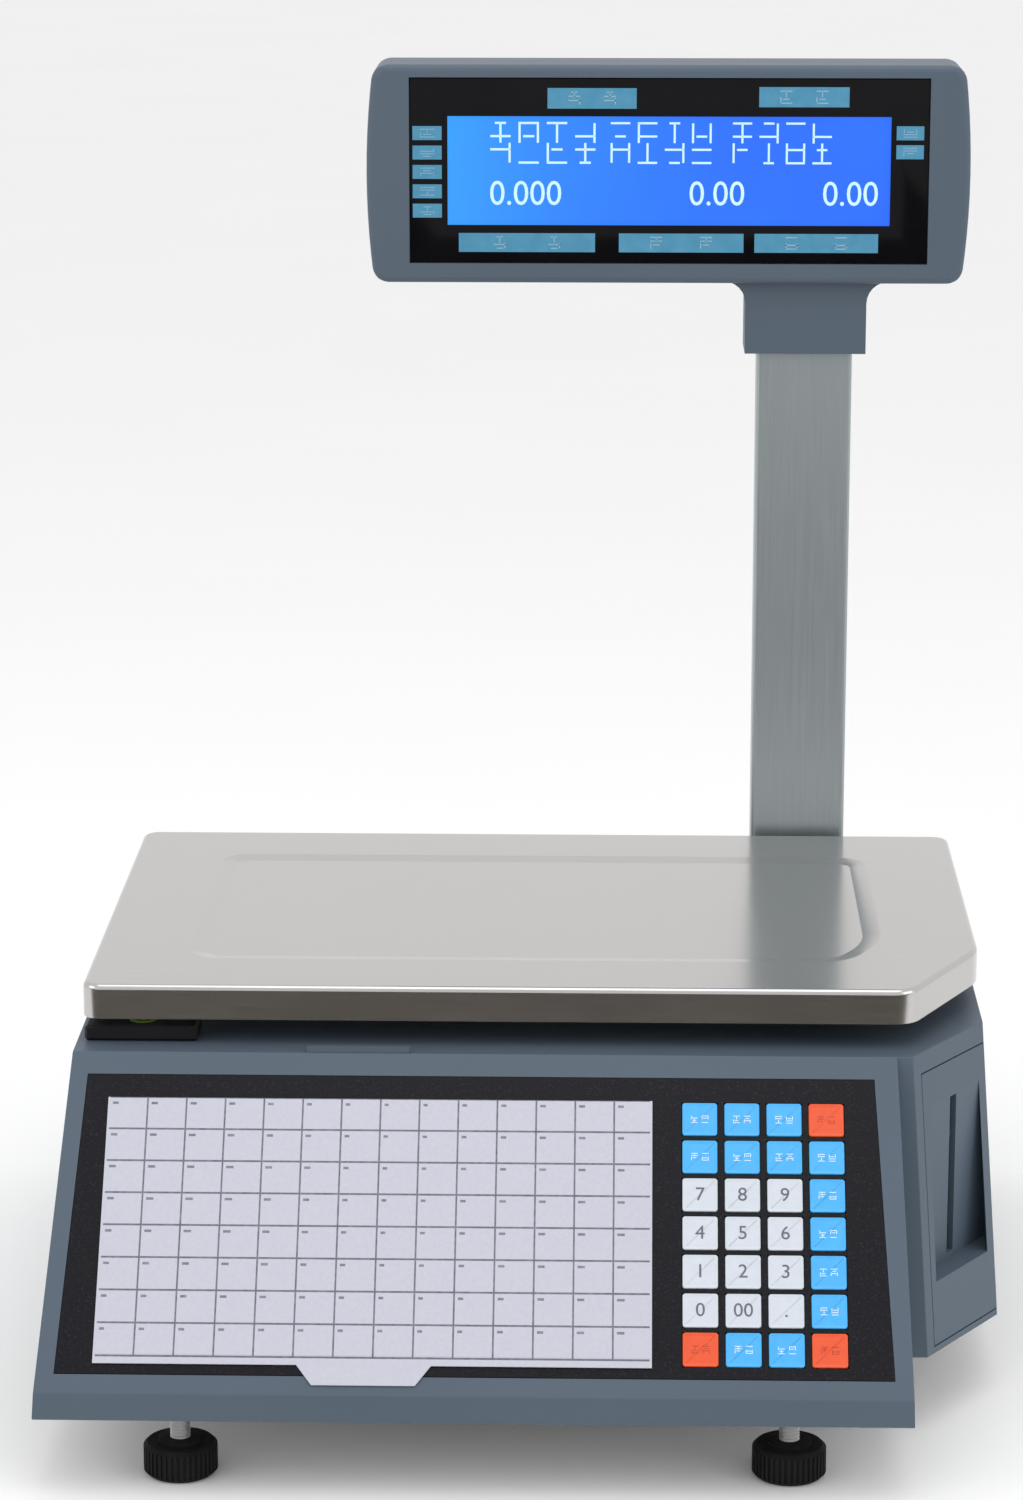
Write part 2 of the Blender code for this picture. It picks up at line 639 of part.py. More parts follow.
def key_look(name):
    if name in ORANGE_KEYS:
        return ORANGE_KEY
    return WHITE_KEY if name.isdigit() or name == "point" else BLUE_KEY


def make_keys():
    half = Vector((KEY / 2, KEY / 2, KEY_T / 2))
    for row, names in enumerate(KEY_NAMES):
        for column, name in enumerate(names):
            key = bevel(box(f"key_{name}", -half, half), SOFT_EDGE / 2)
            key.location = on_panel(*key_centre(row, column), KEY_PROUD - KEY_T / 2)
            key.rotation_euler.x = PANEL_ANGLE
            as_part(key, key_look(name))


# ---------------------------------------------------------------- weighing parts


def platter_block(name, inset, low_z, high_z, flare=0.0):
    """The platter's outline, with its cut corner, moved in by inset; flare tilts its sides out."""
    front_corner = Vector((PLATTER_CUT_X, PLATTER_FRONT, low_z))
    half_x = PLATTER_W / 2
    planes = [
        plane(front_corner, PLATTER_CUT_OUT, inset),
        plane((PLATTER_X + half_x, 0, low_z), (1, 0, 0), inset),
        plane((PLATTER_X - half_x, 0, low_z), (-1, 0, 0), inset),
        plane((0, PLATTER_FRONT, low_z), (0, -1, 0), inset),
        plane((0, PLATTER_REAR, low_z), (0, 1, 0), inset),
    ]
    planes = [(point, (outward - Vector((0, 0, flare))).normalized()) for point, outward in planes]
    return block(name, planes, (-FAR, -FAR, low_z), (FAR, FAR, high_z))


def round_upright_edges(obj, radius, segments):
    bm = bmesh.new()
    bm.from_mesh(obj.data)
    upright = [e for e in bm.edges if (e.verts[0].co - e.verts[1].co).to_2d().length < radius / 100]
    bmesh.ops.bevel(
        bm, geom=upright, offset=radius, segments=segments, profile=0.5, affect="EDGES"
    )
    bm.to_mesh(obj.data)
    bm.free()
    return obj


def round_top_edges(obj, radius, segments, top):
    """Rounds the edges that lie in the top plane of a block, at the height top of its own mesh."""
    bm = bmesh.new()
    bm.from_mesh(obj.data)
    rim = [e for e in bm.edges if min(v.co.z for v in e.verts) > top - radius / 4]
    bmesh.ops.bevel(bm, geom=rim, offset=radius, segments=segments, profile=0.5, affect="EDGES")
    bm.to_mesh(obj.data)
    bm.free()
    return obj


def make_platter():
    """Pressed tray: rounded corners, one cut corner, a sunk inner panel and a skirt open at its foot."""
    foot_z = PLATTER_TOP - PLATTER_SKIRT
    platter = platter_block("platter", 0.0, foot_z, PLATTER_TOP)
    round_upright_edges(platter, PLATTER_CORNER_R, 4)
    round_top_edges(platter, PLATTER_EDGE_R, 2, max(v.co.z for v in platter.data.vertices))
    under_z = PLATTER_TOP - PLATTER_T
    hollow = platter_block("platter_hollow", PLATTER_T, 0, under_z)
    cut(platter, round_upright_edges(hollow, PLATTER_CORNER_R - PLATTER_T, 4))
    panel_z = PLATTER_TOP - PLATTER_PANEL_SUNK
    flare = PLATTER_PANEL_SLOPE / PLATTER_PANEL_SUNK
    floor_in = PLATTER_PANEL_IN + PLATTER_PANEL_SLOPE
    step = ("platter_step", floor_in, panel_z - PLATTER_T, under_z + FIT, flare)
    join(platter, platter_block(*step))
    cut(platter, platter_block("platter_recess", floor_in, panel_z, FAR, flare))
    return as_part(smooth(platter), STEEL)


def spider_post_centre():
    return CELL_L / 2 - CELL_END / 2, PLATTER_Y


def make_spider():
    """Cast H frame under the platter, with a post down to the free end of the beam."""
    pad_x = PLATTER_W / 2 - SPIDER_PAD_IN
    pad_y = PLATTER_D / 2 - SPIDER_PAD_IN
    half = SPIDER_ARM_W / 2
    low_z = PLATTER_TOP - PLATTER_SKIRT + SPIDER_RISE
    high_z = low_z + SPIDER_ARM_T
    inside = SPIDER_ARM_T / 6  # how far the pads and the post run into the arms
    pad_z = PLATTER_TOP - PLATTER_PANEL_SUNK - PLATTER_T - FIT
    low = (PLATTER_X - pad_x, PLATTER_Y - half, low_z)
    spider = box("platter_spider", low, (PLATTER_X + pad_x, PLATTER_Y + half, high_z))
    for side in (-1, 1):
        x = PLATTER_X + side * pad_x
        low = (x - half, PLATTER_Y - pad_y, low_z)
        join(spider, box(f"arm_{side}", low, (x + half, PLATTER_Y + pad_y, high_z)))
        for end in (-1, 1):
            at = (x, PLATTER_Y + end * (pad_y - half))
            join(spider, rod(f"pad_{side}_{end}", SPIDER_PAD_R, low_z + inside, pad_z, at, 20))
    x, y = spider_post_centre()
    half = CELL_END / 2
    foot = (x - half, y - half, CELL_FOOT_Z + CELL_H + WEIGH_GAP)
    join(spider, box("spider_post", foot, (x + half, y + half, high_z - inside)))
    return as_part(spider, ALUMINIUM)


def make_load_cell():
    """Beam cell with the double hole that lets its free end move straight down."""
    low = (-CELL_L / 2, PLATTER_Y - CELL_W / 2, CELL_FOOT_Z)
    high = (CELL_L / 2, PLATTER_Y + CELL_W / 2, CELL_FOOT_Z + CELL_H)
    cell = box("load_cell", low, high)
    middle = CELL_FOOT_Z + CELL_H / 2
    sideways = Matrix.Rotation(pi / 2, 4, "X")
    for side in (-1, 1):
        hole = rod(f"cell_hole_{side}", CELL_HOLE_R, -CELL_W, CELL_W, (0, 0), 20)
        lift = Matrix.Translation((side * CELL_HOLE_PITCH / 2, PLATTER_Y, middle))
        hole.matrix_world = lift @ sideways @ Matrix.Translation((0, 0, -CELL_W))
        cut(cell, hole)
    waist = (PLATTER_Y - CELL_W, PLATTER_Y + CELL_W, CELL_HOLE_PITCH, 2 * CELL_WAIST, middle, 0)
    cut(cell, box("cell_waist", *across(*waist)))
    return as_part(cell, ALUMINIUM)


def make_load_cell_block():
    low = (-CELL_L / 2, PLATTER_Y - CELL_W / 2, PAN_TOP + FIT)
    high = (-CELL_L / 2 + CELL_END, PLATTER_Y + CELL_W / 2, CELL_FOOT_Z - FIT)
    return as_part(box("load_cell_block", low, high), ALUMINIUM)


def make_bubble_level():
    level = box("bubble_level", LEVEL_LOW, LEVEL_HIGH)
    centre = (LEVEL_LOW + LEVEL_HIGH) / 2
    top = LEVEL_HIGH.z
    well = rod("vial_well", LEVEL_VIAL_R, top - LEVEL_VIAL_D, top + WALL, centre, 20)
    return as_part(cut(bevel(level, SOFT_EDGE), well), BLACK)


# ---------------------------------------------------------------- pole and display


def make_pole():
    pole = box("display_pole", *pole_box(POLE_W / 2, POLE_D / 2, PAN_TOP + FIT, POLE_TOP))
    round_upright_edges(pole, POLE_CORNER_R, 3)
    bore = box("pole_bore", *pole_box(POLE_W / 2 - POLE_T, POLE_D / 2 - POLE_T, 0, 2 * FAR))
    return as_part(cut(smooth(pole), bore), POLE_GREY)


def neck_outline():
    """Across and up: straight sides that sweep out into the underside of the head."""
    right = [(NECK_W / 2, NECK_FOOT_Z)]
    for step in range(7):
        turn = step * pi / 12
        x = NECK_W / 2 + NECK_R * (1 - cos(turn))
        right.append((x, HEAD_FOOT - NECK_R * (1 - sin(turn))))
    return right + [(-x, z) for x, z in reversed(right)]


def upright(rear_y, x=0.0):
    """Frame for an outline drawn across and up, thickened forwards from rear_y."""
    return Matrix.Translation((x, rear_y, 0)) @ Matrix.Rotation(pi / 2, 4, "X")


def make_neck():
    """The part of the front shell that sleeves the pole; its rear half stops under the rear shell."""
    return plate("neck", neck_outline(), NECK_D, upright(POLE_Y + NECK_D / 2, POLE_X))


def head_outline():
    """Across and up: the ends swell out by HEAD_BULGE, between small rounded corners."""
    half_h = HEAD_H / 2
    corner_x = HEAD_W / 2 - HEAD_BULGE
    swell_r = (half_h**2 + HEAD_BULGE**2) / (2 * HEAD_BULGE)
    right = [(corner_x - HEAD_CORNER_R, -half_h)]
    steps = 10
    for step in range(steps + 1):
        height = (2 * step / steps - 1) * (half_h - HEAD_CORNER_R)
        swell = (swell_r**2 - height**2) ** 0.5 - (swell_r - HEAD_BULGE)
        right.append((corner_x + swell, height))
    right.append((corner_x - HEAD_CORNER_R, half_h))
    left = [(-x, z) for x, z in reversed(right)]
    return [(HEAD_X + x, HEAD_FOOT + half_h + z) for x, z in right + left]


def head_half(side):
    """One half of the display head: side -1 is the front, +1 the rear."""
    face_y = HEAD_Y + side * HEAD_D / 2
    name = "display_front_shell" if side < 0 else "display_rear_shell"
    half = plate(name, head_outline(), HEAD_D, upright(HEAD_Y + HEAD_D / 2))
    bevel(half, HEAD_R, 3, 40)
    far_y = HEAD_Y + side * FIT / 2
    parting = (far_y, far_y - side * HEAD_D, 2 * HEAD_W, 3 * HEAD_H, HEAD_TOP, HEAD_X)
    cut(half, box(name + "_parting", *across(*parting)))
    if side < 0:
        neck = make_neck()
        stop = (POLE_X - NECK_W, far_y, HEAD_FOOT - FIT)
        cut(neck, box("neck_step", stop, (POLE_X + NECK_W, HEAD_Y + NECK_D, HEAD_TOP)))
        join(half, neck)
    inner_w = HEAD_W - 2 * (HEAD_BULGE + HEAD_WALL)
    inner = (inner_w, HEAD_H - 2 * HEAD_WALL, HEAD_FOOT + HEAD_H / 2, HEAD_X)
    face_back = face_y - side * HEAD_FACE_T
    cut(half, box(name + "_hollow", *across(face_back, HEAD_Y - side * SOFT_EDGE, *inner)))
    pane_y = face_y - side * (WINDOW_SUNK + WINDOW_T + FIT)
    seat = (WINDOW_W + 2 * FIT, WINDOW_H + 2 * FIT, WINDOW_Z, WINDOW_X)
    cut(half, box(name + "_seat", *across(face_y + side * HEAD_R, pane_y, *seat)))
    opening = (WINDOW_W - 2 * WINDOW_SEAT, WINDOW_H - 2 * WINDOW_SEAT, WINDOW_Z, WINDOW_X)
    cut(half, box(name + "_opening", *across(face_y, HEAD_Y, *opening)))
    bore_low, bore_high = NECK_FOOT_Z - NECK_R, HEAD_FOOT + 2 * HEAD_WALL
    bore = pole_box(POLE_W / 2 + FIT, POLE_D / 2 + FIT, bore_low, bore_high)
    cut(half, box(name + "_bore", *bore))
    return as_part(half, SLATE)


def across(y_a, y_b, width, height, z, x):
    """Corners of a box of this width and height round (x, z), between two depths."""
    low = (x - width / 2, min(y_a, y_b), z - height / 2)
    return low, (x + width / 2, max(y_a, y_b), z + height / 2)


def make_display(side):
    head_half(side)
    end = "front" if side < 0 else "rear"
    face_y = HEAD_Y + side * HEAD_D / 2
    outer = face_y - side * WINDOW_SUNK
    inner = outer - side * WINDOW_T
    window = across(outer, inner, WINDOW_W, WINDOW_H, WINDOW_Z, WINDOW_X)
    as_part(box(f"{end}_window", *window), PANE)
    back = inner - side * FIT
    lcd = across(back, back - side * LCD_T, LCD_W, LCD_H, LCD_Z, LCD_X)
    as_part(box(f"{end}_lcd", *lcd), LCD_BLUE)


# ---------------------------------------------------------------- printer


def make_door():
    """Printer door: one moulding round the corner and the side, with the label pocket and its slot."""
    low = (DOOR_LEFT_X, -FAR, DOOR_FOOT_Z)
    high = (FAR, DOOR_REAR_Y, DOOR_TOP_Z)
    frame = printer_front_plane(DOOR_FRAME + DOOR_GAP)
    door = block("printer_door", [frame, corner_plane(), right_plane()], low, high)
    inner_planes = [corner_plane(WALL), right_plane(WALL)]
    cut(door, block("door_hollow", inner_planes, (0, -FAR, 0), (FAR, FAR, FAR)))
    join(door, pocket("door_pocket_walls", POCKET_WALL))
    slot_planes = [
        plane(corner_point(SLOT_ALONG + SLOT_W / 2, 0, 0), CORNER_ALONG),
        plane(corner_point(SLOT_ALONG - SLOT_W / 2, 0, 0), -CORNER_ALONG),
    ]
    foot = POCKET_FOOT_Z + SLOT_RISE
    slot = block("label_slot", slot_planes, (DOOR_LEFT_X, -FAR, foot), (FAR, FAR, foot + SLOT_L))
    cut(door, pocket("label_pocket", 0.0), slot)
    bpy.context.view_layer.update()
    door.data.transform(Matrix.Translation(door.location - DOOR_HINGE))
    door.location = DOOR_HINGE
    return as_part(door, SLATE)


def pocket(name, wall):
    """The upright label pocket, or the walls round it, which stay inside the door's outer skin."""
    planes = [
        plane(corner_point(0, POCKET_AT, 0), -CORNER_OUT, -wall),
        plane((POCKET_LEFT_X, 0, POCKET_FOOT_Z), (-1, 0, -POCKET_LEFT_DRAFT), -wall),
    ]
    high_z = FAR
    if wall:
        planes += [corner_plane(wall / 2), right_plane(wall / 2)]
        high_z = DOOR_TOP_Z - wall / 2
    else:
        planes.append(right_plane(POCKET_RIM))
    low = (DOOR_LEFT_X, -FAR, POCKET_FOOT_Z - wall)
    return block(name, planes, low, (FAR, FAR, high_z))


def make_chassis():
    """Bent sheet: an inner wall, a floor for the shafts and a leg, with the corner trimmed."""
    left, right, foot = CHASSIS_LEFT, CHASSIS_RIGHT, PAN_TOP + FIT
    outline = [
        (left, CHASSIS_TOP), (left, foot), (left + CHASSIS_T, foot),
        (left + CHASSIS_T, CHASSIS_Z - CHASSIS_T), (right - CHASSIS_T, CHASSIS_Z - CHASSIS_T),
        (right - CHASSIS_T, foot), (right, foot), (right, CHASSIS_Z),
        (left + CHASSIS_T, CHASSIS_Z), (left + CHASSIS_T, CHASSIS_TOP),
    ]
    length = CHASSIS_REAR - CHASSIS_FRONT
    chassis = plate("printer_chassis", outline, length, upright(CHASSIS_REAR))
    beyond = plane(corner_point(0, CHASSIS_CORNER_AT, 0), -CORNER_OUT)
    cut(chassis, block("chassis_trim", [beyond], (CHASSIS_LEFT - WALL, -FAR, 0), (FAR, FAR, FAR)))
    return as_part(chassis, GREY_SHEET)


def make_label_roll():
    profile = [(ROLL_CORE_R, LABEL_W), (ROLL_R, LABEL_W), (ROLL_R, 0), (ROLL_CORE_R, 0)]
    roll = turned("label_roll", profile, (*ROLL_AT, LABEL_FOOT_Z), 40, ring=True)
    return as_part(roll, PAPER)


def make_roll_spindle():
    foot = CHASSIS_Z + FIT
    flange = LABEL_FOOT_Z - FIT - foot
    top = LABEL_FOOT_Z + LABEL_W + SPINDLE_PROUD - foot
    profile = [
        (0, top), (SPINDLE_R, top), (SPINDLE_R, flange), (SPINDLE_FLANGE_R, flange),
        (SPINDLE_FLANGE_R, 0), (0, 0),
    ]
    return as_part(turned("roll_spindle", profile, (*ROLL_AT, foot), 32), BLACK)


def label_edges():
    """Lower and upper height of what spans the label: the platen roller and the print head."""
    return LABEL_FOOT_Z - HEAD_PLATE_LOW, LABEL_FOOT_Z + LABEL_W + HEAD_PLATE_HIGH


def make_platen():
    at = corner_point(SLOT_ALONG - PLATEN_R - PLATEN_GAP, PLATEN_OUT, CHASSIS_Z + FIT)
    low, high = (z - at.z for z in label_edges())
    top = high + SHAFT_PROUD
    profile = [
        (0, top), (PLATEN_SHAFT_R, top), (PLATEN_SHAFT_R, high), (PLATEN_R, high),
        (PLATEN_R, low), (PLATEN_SHAFT_R, low), (PLATEN_SHAFT_R, 0), (0, 0),
    ]
    return as_part(turned("platen_roller", profile, at, 24), RUBBER)


def head_pivot():
    along = SLOT_ALONG + PLATEN_GAP + HEAD_PLATE_T
    return corner_point(along, HEAD_PLATE_OUT[0] - HEAD_PIN_IN, 0)


def make_print_head():
    """Thermal head block beside the platen, on an upright pin at its inner end."""
    near = SLOT_ALONG + PLATEN_GAP
    planes = [
        plane(corner_point(near + HEAD_PLATE_T, 0, 0), CORNER_ALONG),
        plane(corner_point(near, 0, 0), -CORNER_ALONG),
        plane(corner_point(0, HEAD_PLATE_OUT[0], 0), -CORNER_OUT),
        plane(corner_point(0, HEAD_PLATE_OUT[1], 0), CORNER_OUT),
    ]
    low_z, high_z = label_edges()
    head = block("print_head", planes, (0, -FAR, low_z), (FAR, FAR, high_z))
    pivot = head_pivot()
    join(head, rod("head_pin", HEAD_PIN_R, CHASSIS_Z + FIT, high_z + SPINDLE_PROUD, pivot, 16))
    head.data.transform(Matrix.Translation(head.location - pivot))
    head.location = pivot
    return as_part(head, ALUMINIUM)


def make_liner_spool():
    top = LABEL_W + SPOOL_SPARE
    rim = top - SPOOL_FLANGE_T
    profile = [
        (0, top), (SPOOL_FLANGE_R, top), (SPOOL_FLANGE_R, rim), (SPOOL_CORE_R, rim),
        (SPOOL_CORE_R, SPOOL_FLANGE_T), (SPOOL_FLANGE_R, SPOOL_FLANGE_T), (SPOOL_FLANGE_R, 0), (0, 0),
    ]
    spool = turned("liner_spool", profile, (*SPOOL_AT, CHASSIS_Z + FIT + SPOOL_RISE), 28)
    return as_part(spool, BLACK)


# ---------------------------------------------------------------- electrics


def board_corners():
    inset = BOSS_R
    for x in (BOARD_X - BOARD_W / 2 + inset, BOARD_X + BOARD_W / 2 - inset):
        for y in (BOARD_REAR - BOARD_D + inset, BOARD_REAR - inset):
            yield x, y


def make_main_board():
    """Main board with its connectors, whose mouths fill the openings of the rear wall."""
    low = (BOARD_X - BOARD_W / 2, BOARD_REAR - BOARD_D, BOARD_Z)
    board = box("main_board", low, (BOARD_X + BOARD_W / 2, BOARD_REAR, BOARD_Z + BOARD_T))
    for name, (across_board, width, height) in PORTS.items():
        x, z = BOARD_X + across_board, port_z(height)
        rear = HALF_D - (z - RIM_Z) * REAR_DRAFT
        low = (x - width / 2, rear - PORT_D, z - height / 2)
        join(board, box(f"{name}_port", low, (x + width / 2, rear, z + height / 2)))
        mouth = (width - 2 * PORT_RIM, height - 2 * PORT_RIM, z, x)
        cut(board, box(f"{name}_mouth", *across(rear - PORT_MOUTH_D, rear + WALL, *mouth)))
    return as_part(board, GREEN_BOARD)


def make_power_supply():
    foot = PAN_TOP + FIT
    low = (PSU_X - PSU_W / 2, PSU_Y - PSU_D / 2, foot)
    supply = box("power_supply", low, (PSU_X + PSU_W / 2, PSU_Y + PSU_D / 2, foot + PSU_H))
    return as_part(bevel(supply, SOFT_EDGE), GREY_SHEET)


def make_inlet():
    """Mains inlet module: a socket with three prongs, and beside it the well of the rocker switch."""
    rear = inlet_face_y()
    inlet = box("mains_inlet", *across(rear - INLET_D, rear, INLET_W, INLET_H, INLET_Z, INLET_X))
    floor_y = rear - SOCKET_D
    cut(inlet, box("inlet_socket", *across(floor_y, rear + WALL, SOCKET_W, SOCKET_H, INLET_Z, SOCKET_X)))
    well_w, well_h = SWITCH_W + 2 * SLIDE_GAP, SWITCH_H + 2 * SWITCH_CLEAR
    well_y = rear - SWITCH_D - SWITCH_SUNK - SWITCH_CLEAR
    cut(inlet, box("switch_well", *across(well_y, rear + WALL, well_w, well_h, INLET_Z, SWITCH_X)))
    for i in (-1, 0, 1):
        x = SOCKET_X + i * PRONG_PITCH
        prong_z = INLET_Z - PRONG_LOW
        prong = across(floor_y - SOFT_EDGE, floor_y + PRONG_L, PRONG_W, PRONG_T, prong_z, x)
        join(inlet, box(f"prong_{i}", *prong))
    return as_part(inlet, BLACK)


def inlet_face_y():
    return HALF_D - (INLET_Z - RIM_Z) * REAR_DRAFT


def make_switch():
    """Rocker switch, resting tilted to its off side about a level axis in its well."""
    half = Vector((SWITCH_W / 2, SWITCH_D / 2, SWITCH_H / 2))
    rocker = bevel(box("power_switch", -half, half), SOFT_EDGE)
    rocker.location = (SWITCH_X, inlet_face_y() - SWITCH_D / 2 - SWITCH_SUNK, INLET_Z)
    rocker.rotation_euler.x = SWITCH_TILT
    return as_part(rocker, BLACK)


def build():
    make_housing()
    make_base_pan()
    make_feet()
    make_overlay()
    make_preset_card()
    make_keypad_board()
    make_keys()
    make_platter()
    make_spider()
    make_load_cell()
    make_load_cell_block()
    make_bubble_level()
    make_pole()
    make_display(-1)
    make_display(1)
    make_door()
    make_chassis()
    make_label_roll()
    make_roll_spindle()
    make_platen()
    make_print_head()
    make_liner_spool()
    make_main_board()
    make_power_supply()
    make_inlet()
    make_switch()


build()
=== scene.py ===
"""Counter scale with a label printer and a display on a pole, dressed in the order it is put together."""

import json
from math import atan2, cos, pi, radians, sin

import bmesh
import bpy
from mathutils import Matrix, Vector


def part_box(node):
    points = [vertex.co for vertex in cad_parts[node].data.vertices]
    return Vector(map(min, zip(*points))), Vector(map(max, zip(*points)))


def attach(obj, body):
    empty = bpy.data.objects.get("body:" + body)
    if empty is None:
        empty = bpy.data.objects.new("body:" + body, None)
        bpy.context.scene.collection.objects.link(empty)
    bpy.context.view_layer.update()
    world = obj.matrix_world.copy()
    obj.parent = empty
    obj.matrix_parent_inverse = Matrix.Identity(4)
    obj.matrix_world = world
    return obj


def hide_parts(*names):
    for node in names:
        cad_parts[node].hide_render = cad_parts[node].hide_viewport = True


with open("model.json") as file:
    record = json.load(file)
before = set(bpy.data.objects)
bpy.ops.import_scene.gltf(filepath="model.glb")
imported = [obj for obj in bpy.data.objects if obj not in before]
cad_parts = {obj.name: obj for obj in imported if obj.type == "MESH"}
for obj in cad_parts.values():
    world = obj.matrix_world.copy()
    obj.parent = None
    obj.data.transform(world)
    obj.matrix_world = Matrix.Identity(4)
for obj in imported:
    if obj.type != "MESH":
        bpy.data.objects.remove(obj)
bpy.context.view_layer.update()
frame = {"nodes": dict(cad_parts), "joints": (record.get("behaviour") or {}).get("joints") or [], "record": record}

node = frame["nodes"]


# ---------------------------------------------------------------- levelling feet
# Each foot is a rubber-covered disc with a knurled rim, turned by hand, on a zinc-plated M8 stud
# that screws up into the base. The disc is moulded round the stud's head.


class Value:
    """A socket of a material that is worked with as a number."""

    def __init__(self, finish, socket):
        self.finish, self.socket = finish, socket

    def __add__(self, other):
        return self.finish.maths("ADD", self, other)

    def __sub__(self, other):
        return self.finish.maths("SUBTRACT", self, other)

    def __rsub__(self, other):
        return self.finish.maths("SUBTRACT", other, self)

    def __mul__(self, other):
        return self.finish.maths("MULTIPLY", self, other)

    def __truediv__(self, other):
        return self.finish.maths("DIVIDE", self, other)

    def __gt__(self, other):
        return self.finish.maths("GREATER_THAN", self, other)

    def __lt__(self, other):
        return self.finish.maths("LESS_THAN", self, other)

    __radd__, __rmul__ = __add__, __mul__


class Finish:
    """A material under construction, with the object's own coordinates as x, y and z.

    Its inputs are the shader's constants, such as coat_weight; what varies is set later.
    """

    def __init__(self, name, **inputs):
        self.material = bpy.data.materials.new(name)
        self.material.use_nodes = True
        self.tree = self.material.node_tree
        self.shader = self.tree.nodes["Principled BSDF"]
        self.place = self.node("ShaderNodeTexCoord", {}, {}, "Object")
        self.x, self.y, self.z = self.split(self.place)
        titles = {key: key.replace("_", " ").title().replace("Ior", "IOR") for key in inputs}
        self.set({titles[key]: value for key, value in inputs.items()})

    def set(self, inputs, target=None):
        for name, value in inputs.items():
            socket = (target or self.shader).inputs[name]
            if isinstance(value, Value):
                self.tree.links.new(value.socket, socket)
            else:
                socket.default_value = value
        return self

    def node(self, kind, settings, inputs, output=0):
        made = self.tree.nodes.new(kind)
        settings = dict(settings)
        for element, (position, colour) in zip(
            made.color_ramp.elements if "stops" in settings else (), settings.pop("stops", ())
        ):
            element.position, element.color = position, (*colour, 1)
        for name, value in settings.items():
            setattr(made, name, value)
        self.set(inputs, made)
        return Value(self, made.outputs[output])

    def maths(self, operation, *values):
        return self.node("ShaderNodeMath", {"operation": operation}, dict(enumerate(values)))

    def split(self, vector):
        return [self.node("ShaderNodeSeparateXYZ", {}, {0: vector}, i) for i in range(3)]

    def stretched(self, x, y, z):
        """The object's coordinates, drawn out by these factors."""
        return self.node("ShaderNodeMapping", {}, {"Vector": self.place, "Scale": (x, y, z)})

    def noise(self, scale, detail=2.0, at=None):
        inputs = {"Vector": at or self.place, "Scale": scale, "Detail": detail}
        return self.node("ShaderNodeTexNoise", {}, inputs)

    def between(self, amount, first, second):
        """A colour that goes from the first to the second with the amount."""
        inputs = {0: amount}
        for socket, colour in ((6, first), (7, second)):
            inputs[socket] = colour if isinstance(colour, Value) else (*colour, 1)
        return self.node("ShaderNodeMix", {"data_type": "RGBA"}, inputs, 2)

    def bump(self, height, strength, distance):
        inputs = {"Strength": strength, "Distance": distance, "Height": height}
        return self.set({"Normal": self.node("ShaderNodeBump", {}, inputs)})


def start(name, add, **how):
    """Adds a primitive whose place goes into its mesh, and opens it with nothing selected."""
    bpy.ops.object.select_all(action="DESELECT")
    add(**how)
    piece = bpy.context.object
    piece.name = piece.data.name = name
    bpy.ops.object.transform_apply(location=True, rotation=True, scale=True)
    bpy.ops.object.mode_set(mode="EDIT")
    bpy.ops.mesh.select_all(action="DESELECT")
    return piece


def pick(kind, test):
    """Selects only the faces or edges that pass the test, which gets each one's middle and itself."""
    bpy.ops.mesh.select_mode(type="FACE" if kind == "faces" else "EDGE")
    bpy.ops.mesh.select_all(action="DESELECT")
    mesh = bmesh.from_edit_mesh(bpy.context.object.data)
    for element in getattr(mesh, kind):
        middle = sum((v.co for v in element.verts), Vector()) / len(element.verts)
        if test(middle, element):
            element.select = True
    mesh.select_flush_mode()
    bmesh.update_edit_mesh(bpy.context.object.data)


def level(edge):
    """True for an edge whose two ends are equally high."""
    return abs(edge.verts[0].co.z - edge.verts[1].co.z) < 1e-6


def close(piece, finish, body, angle=35):
    """Leaves edit mode, puts the faces the right way out, shades, paints and fixes the piece."""
    if bpy.context.mode == "EDIT_MESH":
        bpy.ops.mesh.select_all(action="SELECT")
        bpy.ops.mesh.normals_make_consistent(inside=False)
        bpy.ops.object.mode_set(mode="OBJECT")
    bpy.ops.object.shade_smooth_by_angle(angle=radians(angle))
    piece.data.materials.clear()
    piece.data.materials.append(finish.material)
    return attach(piece, body)


def copy_of(piece, name, move, body):
    """Another of the same piece, with a mesh of its own, moved by a matrix."""
    made = piece.copy()
    made.data = piece.data.copy()
    bpy.context.scene.collection.objects.link(made)
    made.name = made.data.name = name
    made.parent = None
    made.matrix_world = Matrix()
    made.data.transform(move)
    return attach(made, body)


def black_rubber():
    finish = Finish("black_rubber", specular_ior_level=0.14)
    grain = finish.noise(1800)
    dust = finish.noise(90, 4)
    finish.set({"Base Color": finish.between(dust, (0.005, 0.005, 0.005), (0.014, 0.014, 0.014))})
    finish.set({"Roughness": 0.55 + 0.3 * grain})
    return finish.bump(grain, 0.3, 0.0001)


def zinc_plate():
    """Bright zinc on steel: faint crystals and a slight warm and cool drift."""
    finish = Finish("zinc_plated_steel", metallic=1.0)
    crystals = finish.node("ShaderNodeTexVoronoi", {}, {"Vector": finish.place, "Scale": 260.0})
    drift = finish.noise(30, 3)
    finish.set({"Base Color": finish.between(drift, (0.50, 0.51, 0.53), (0.62, 0.61, 0.58))})
    finish.set({"Roughness": 0.24 + 0.22 * crystals + 0.1 * drift})
    return finish.bump(crystals, 0.05, 0.0001)


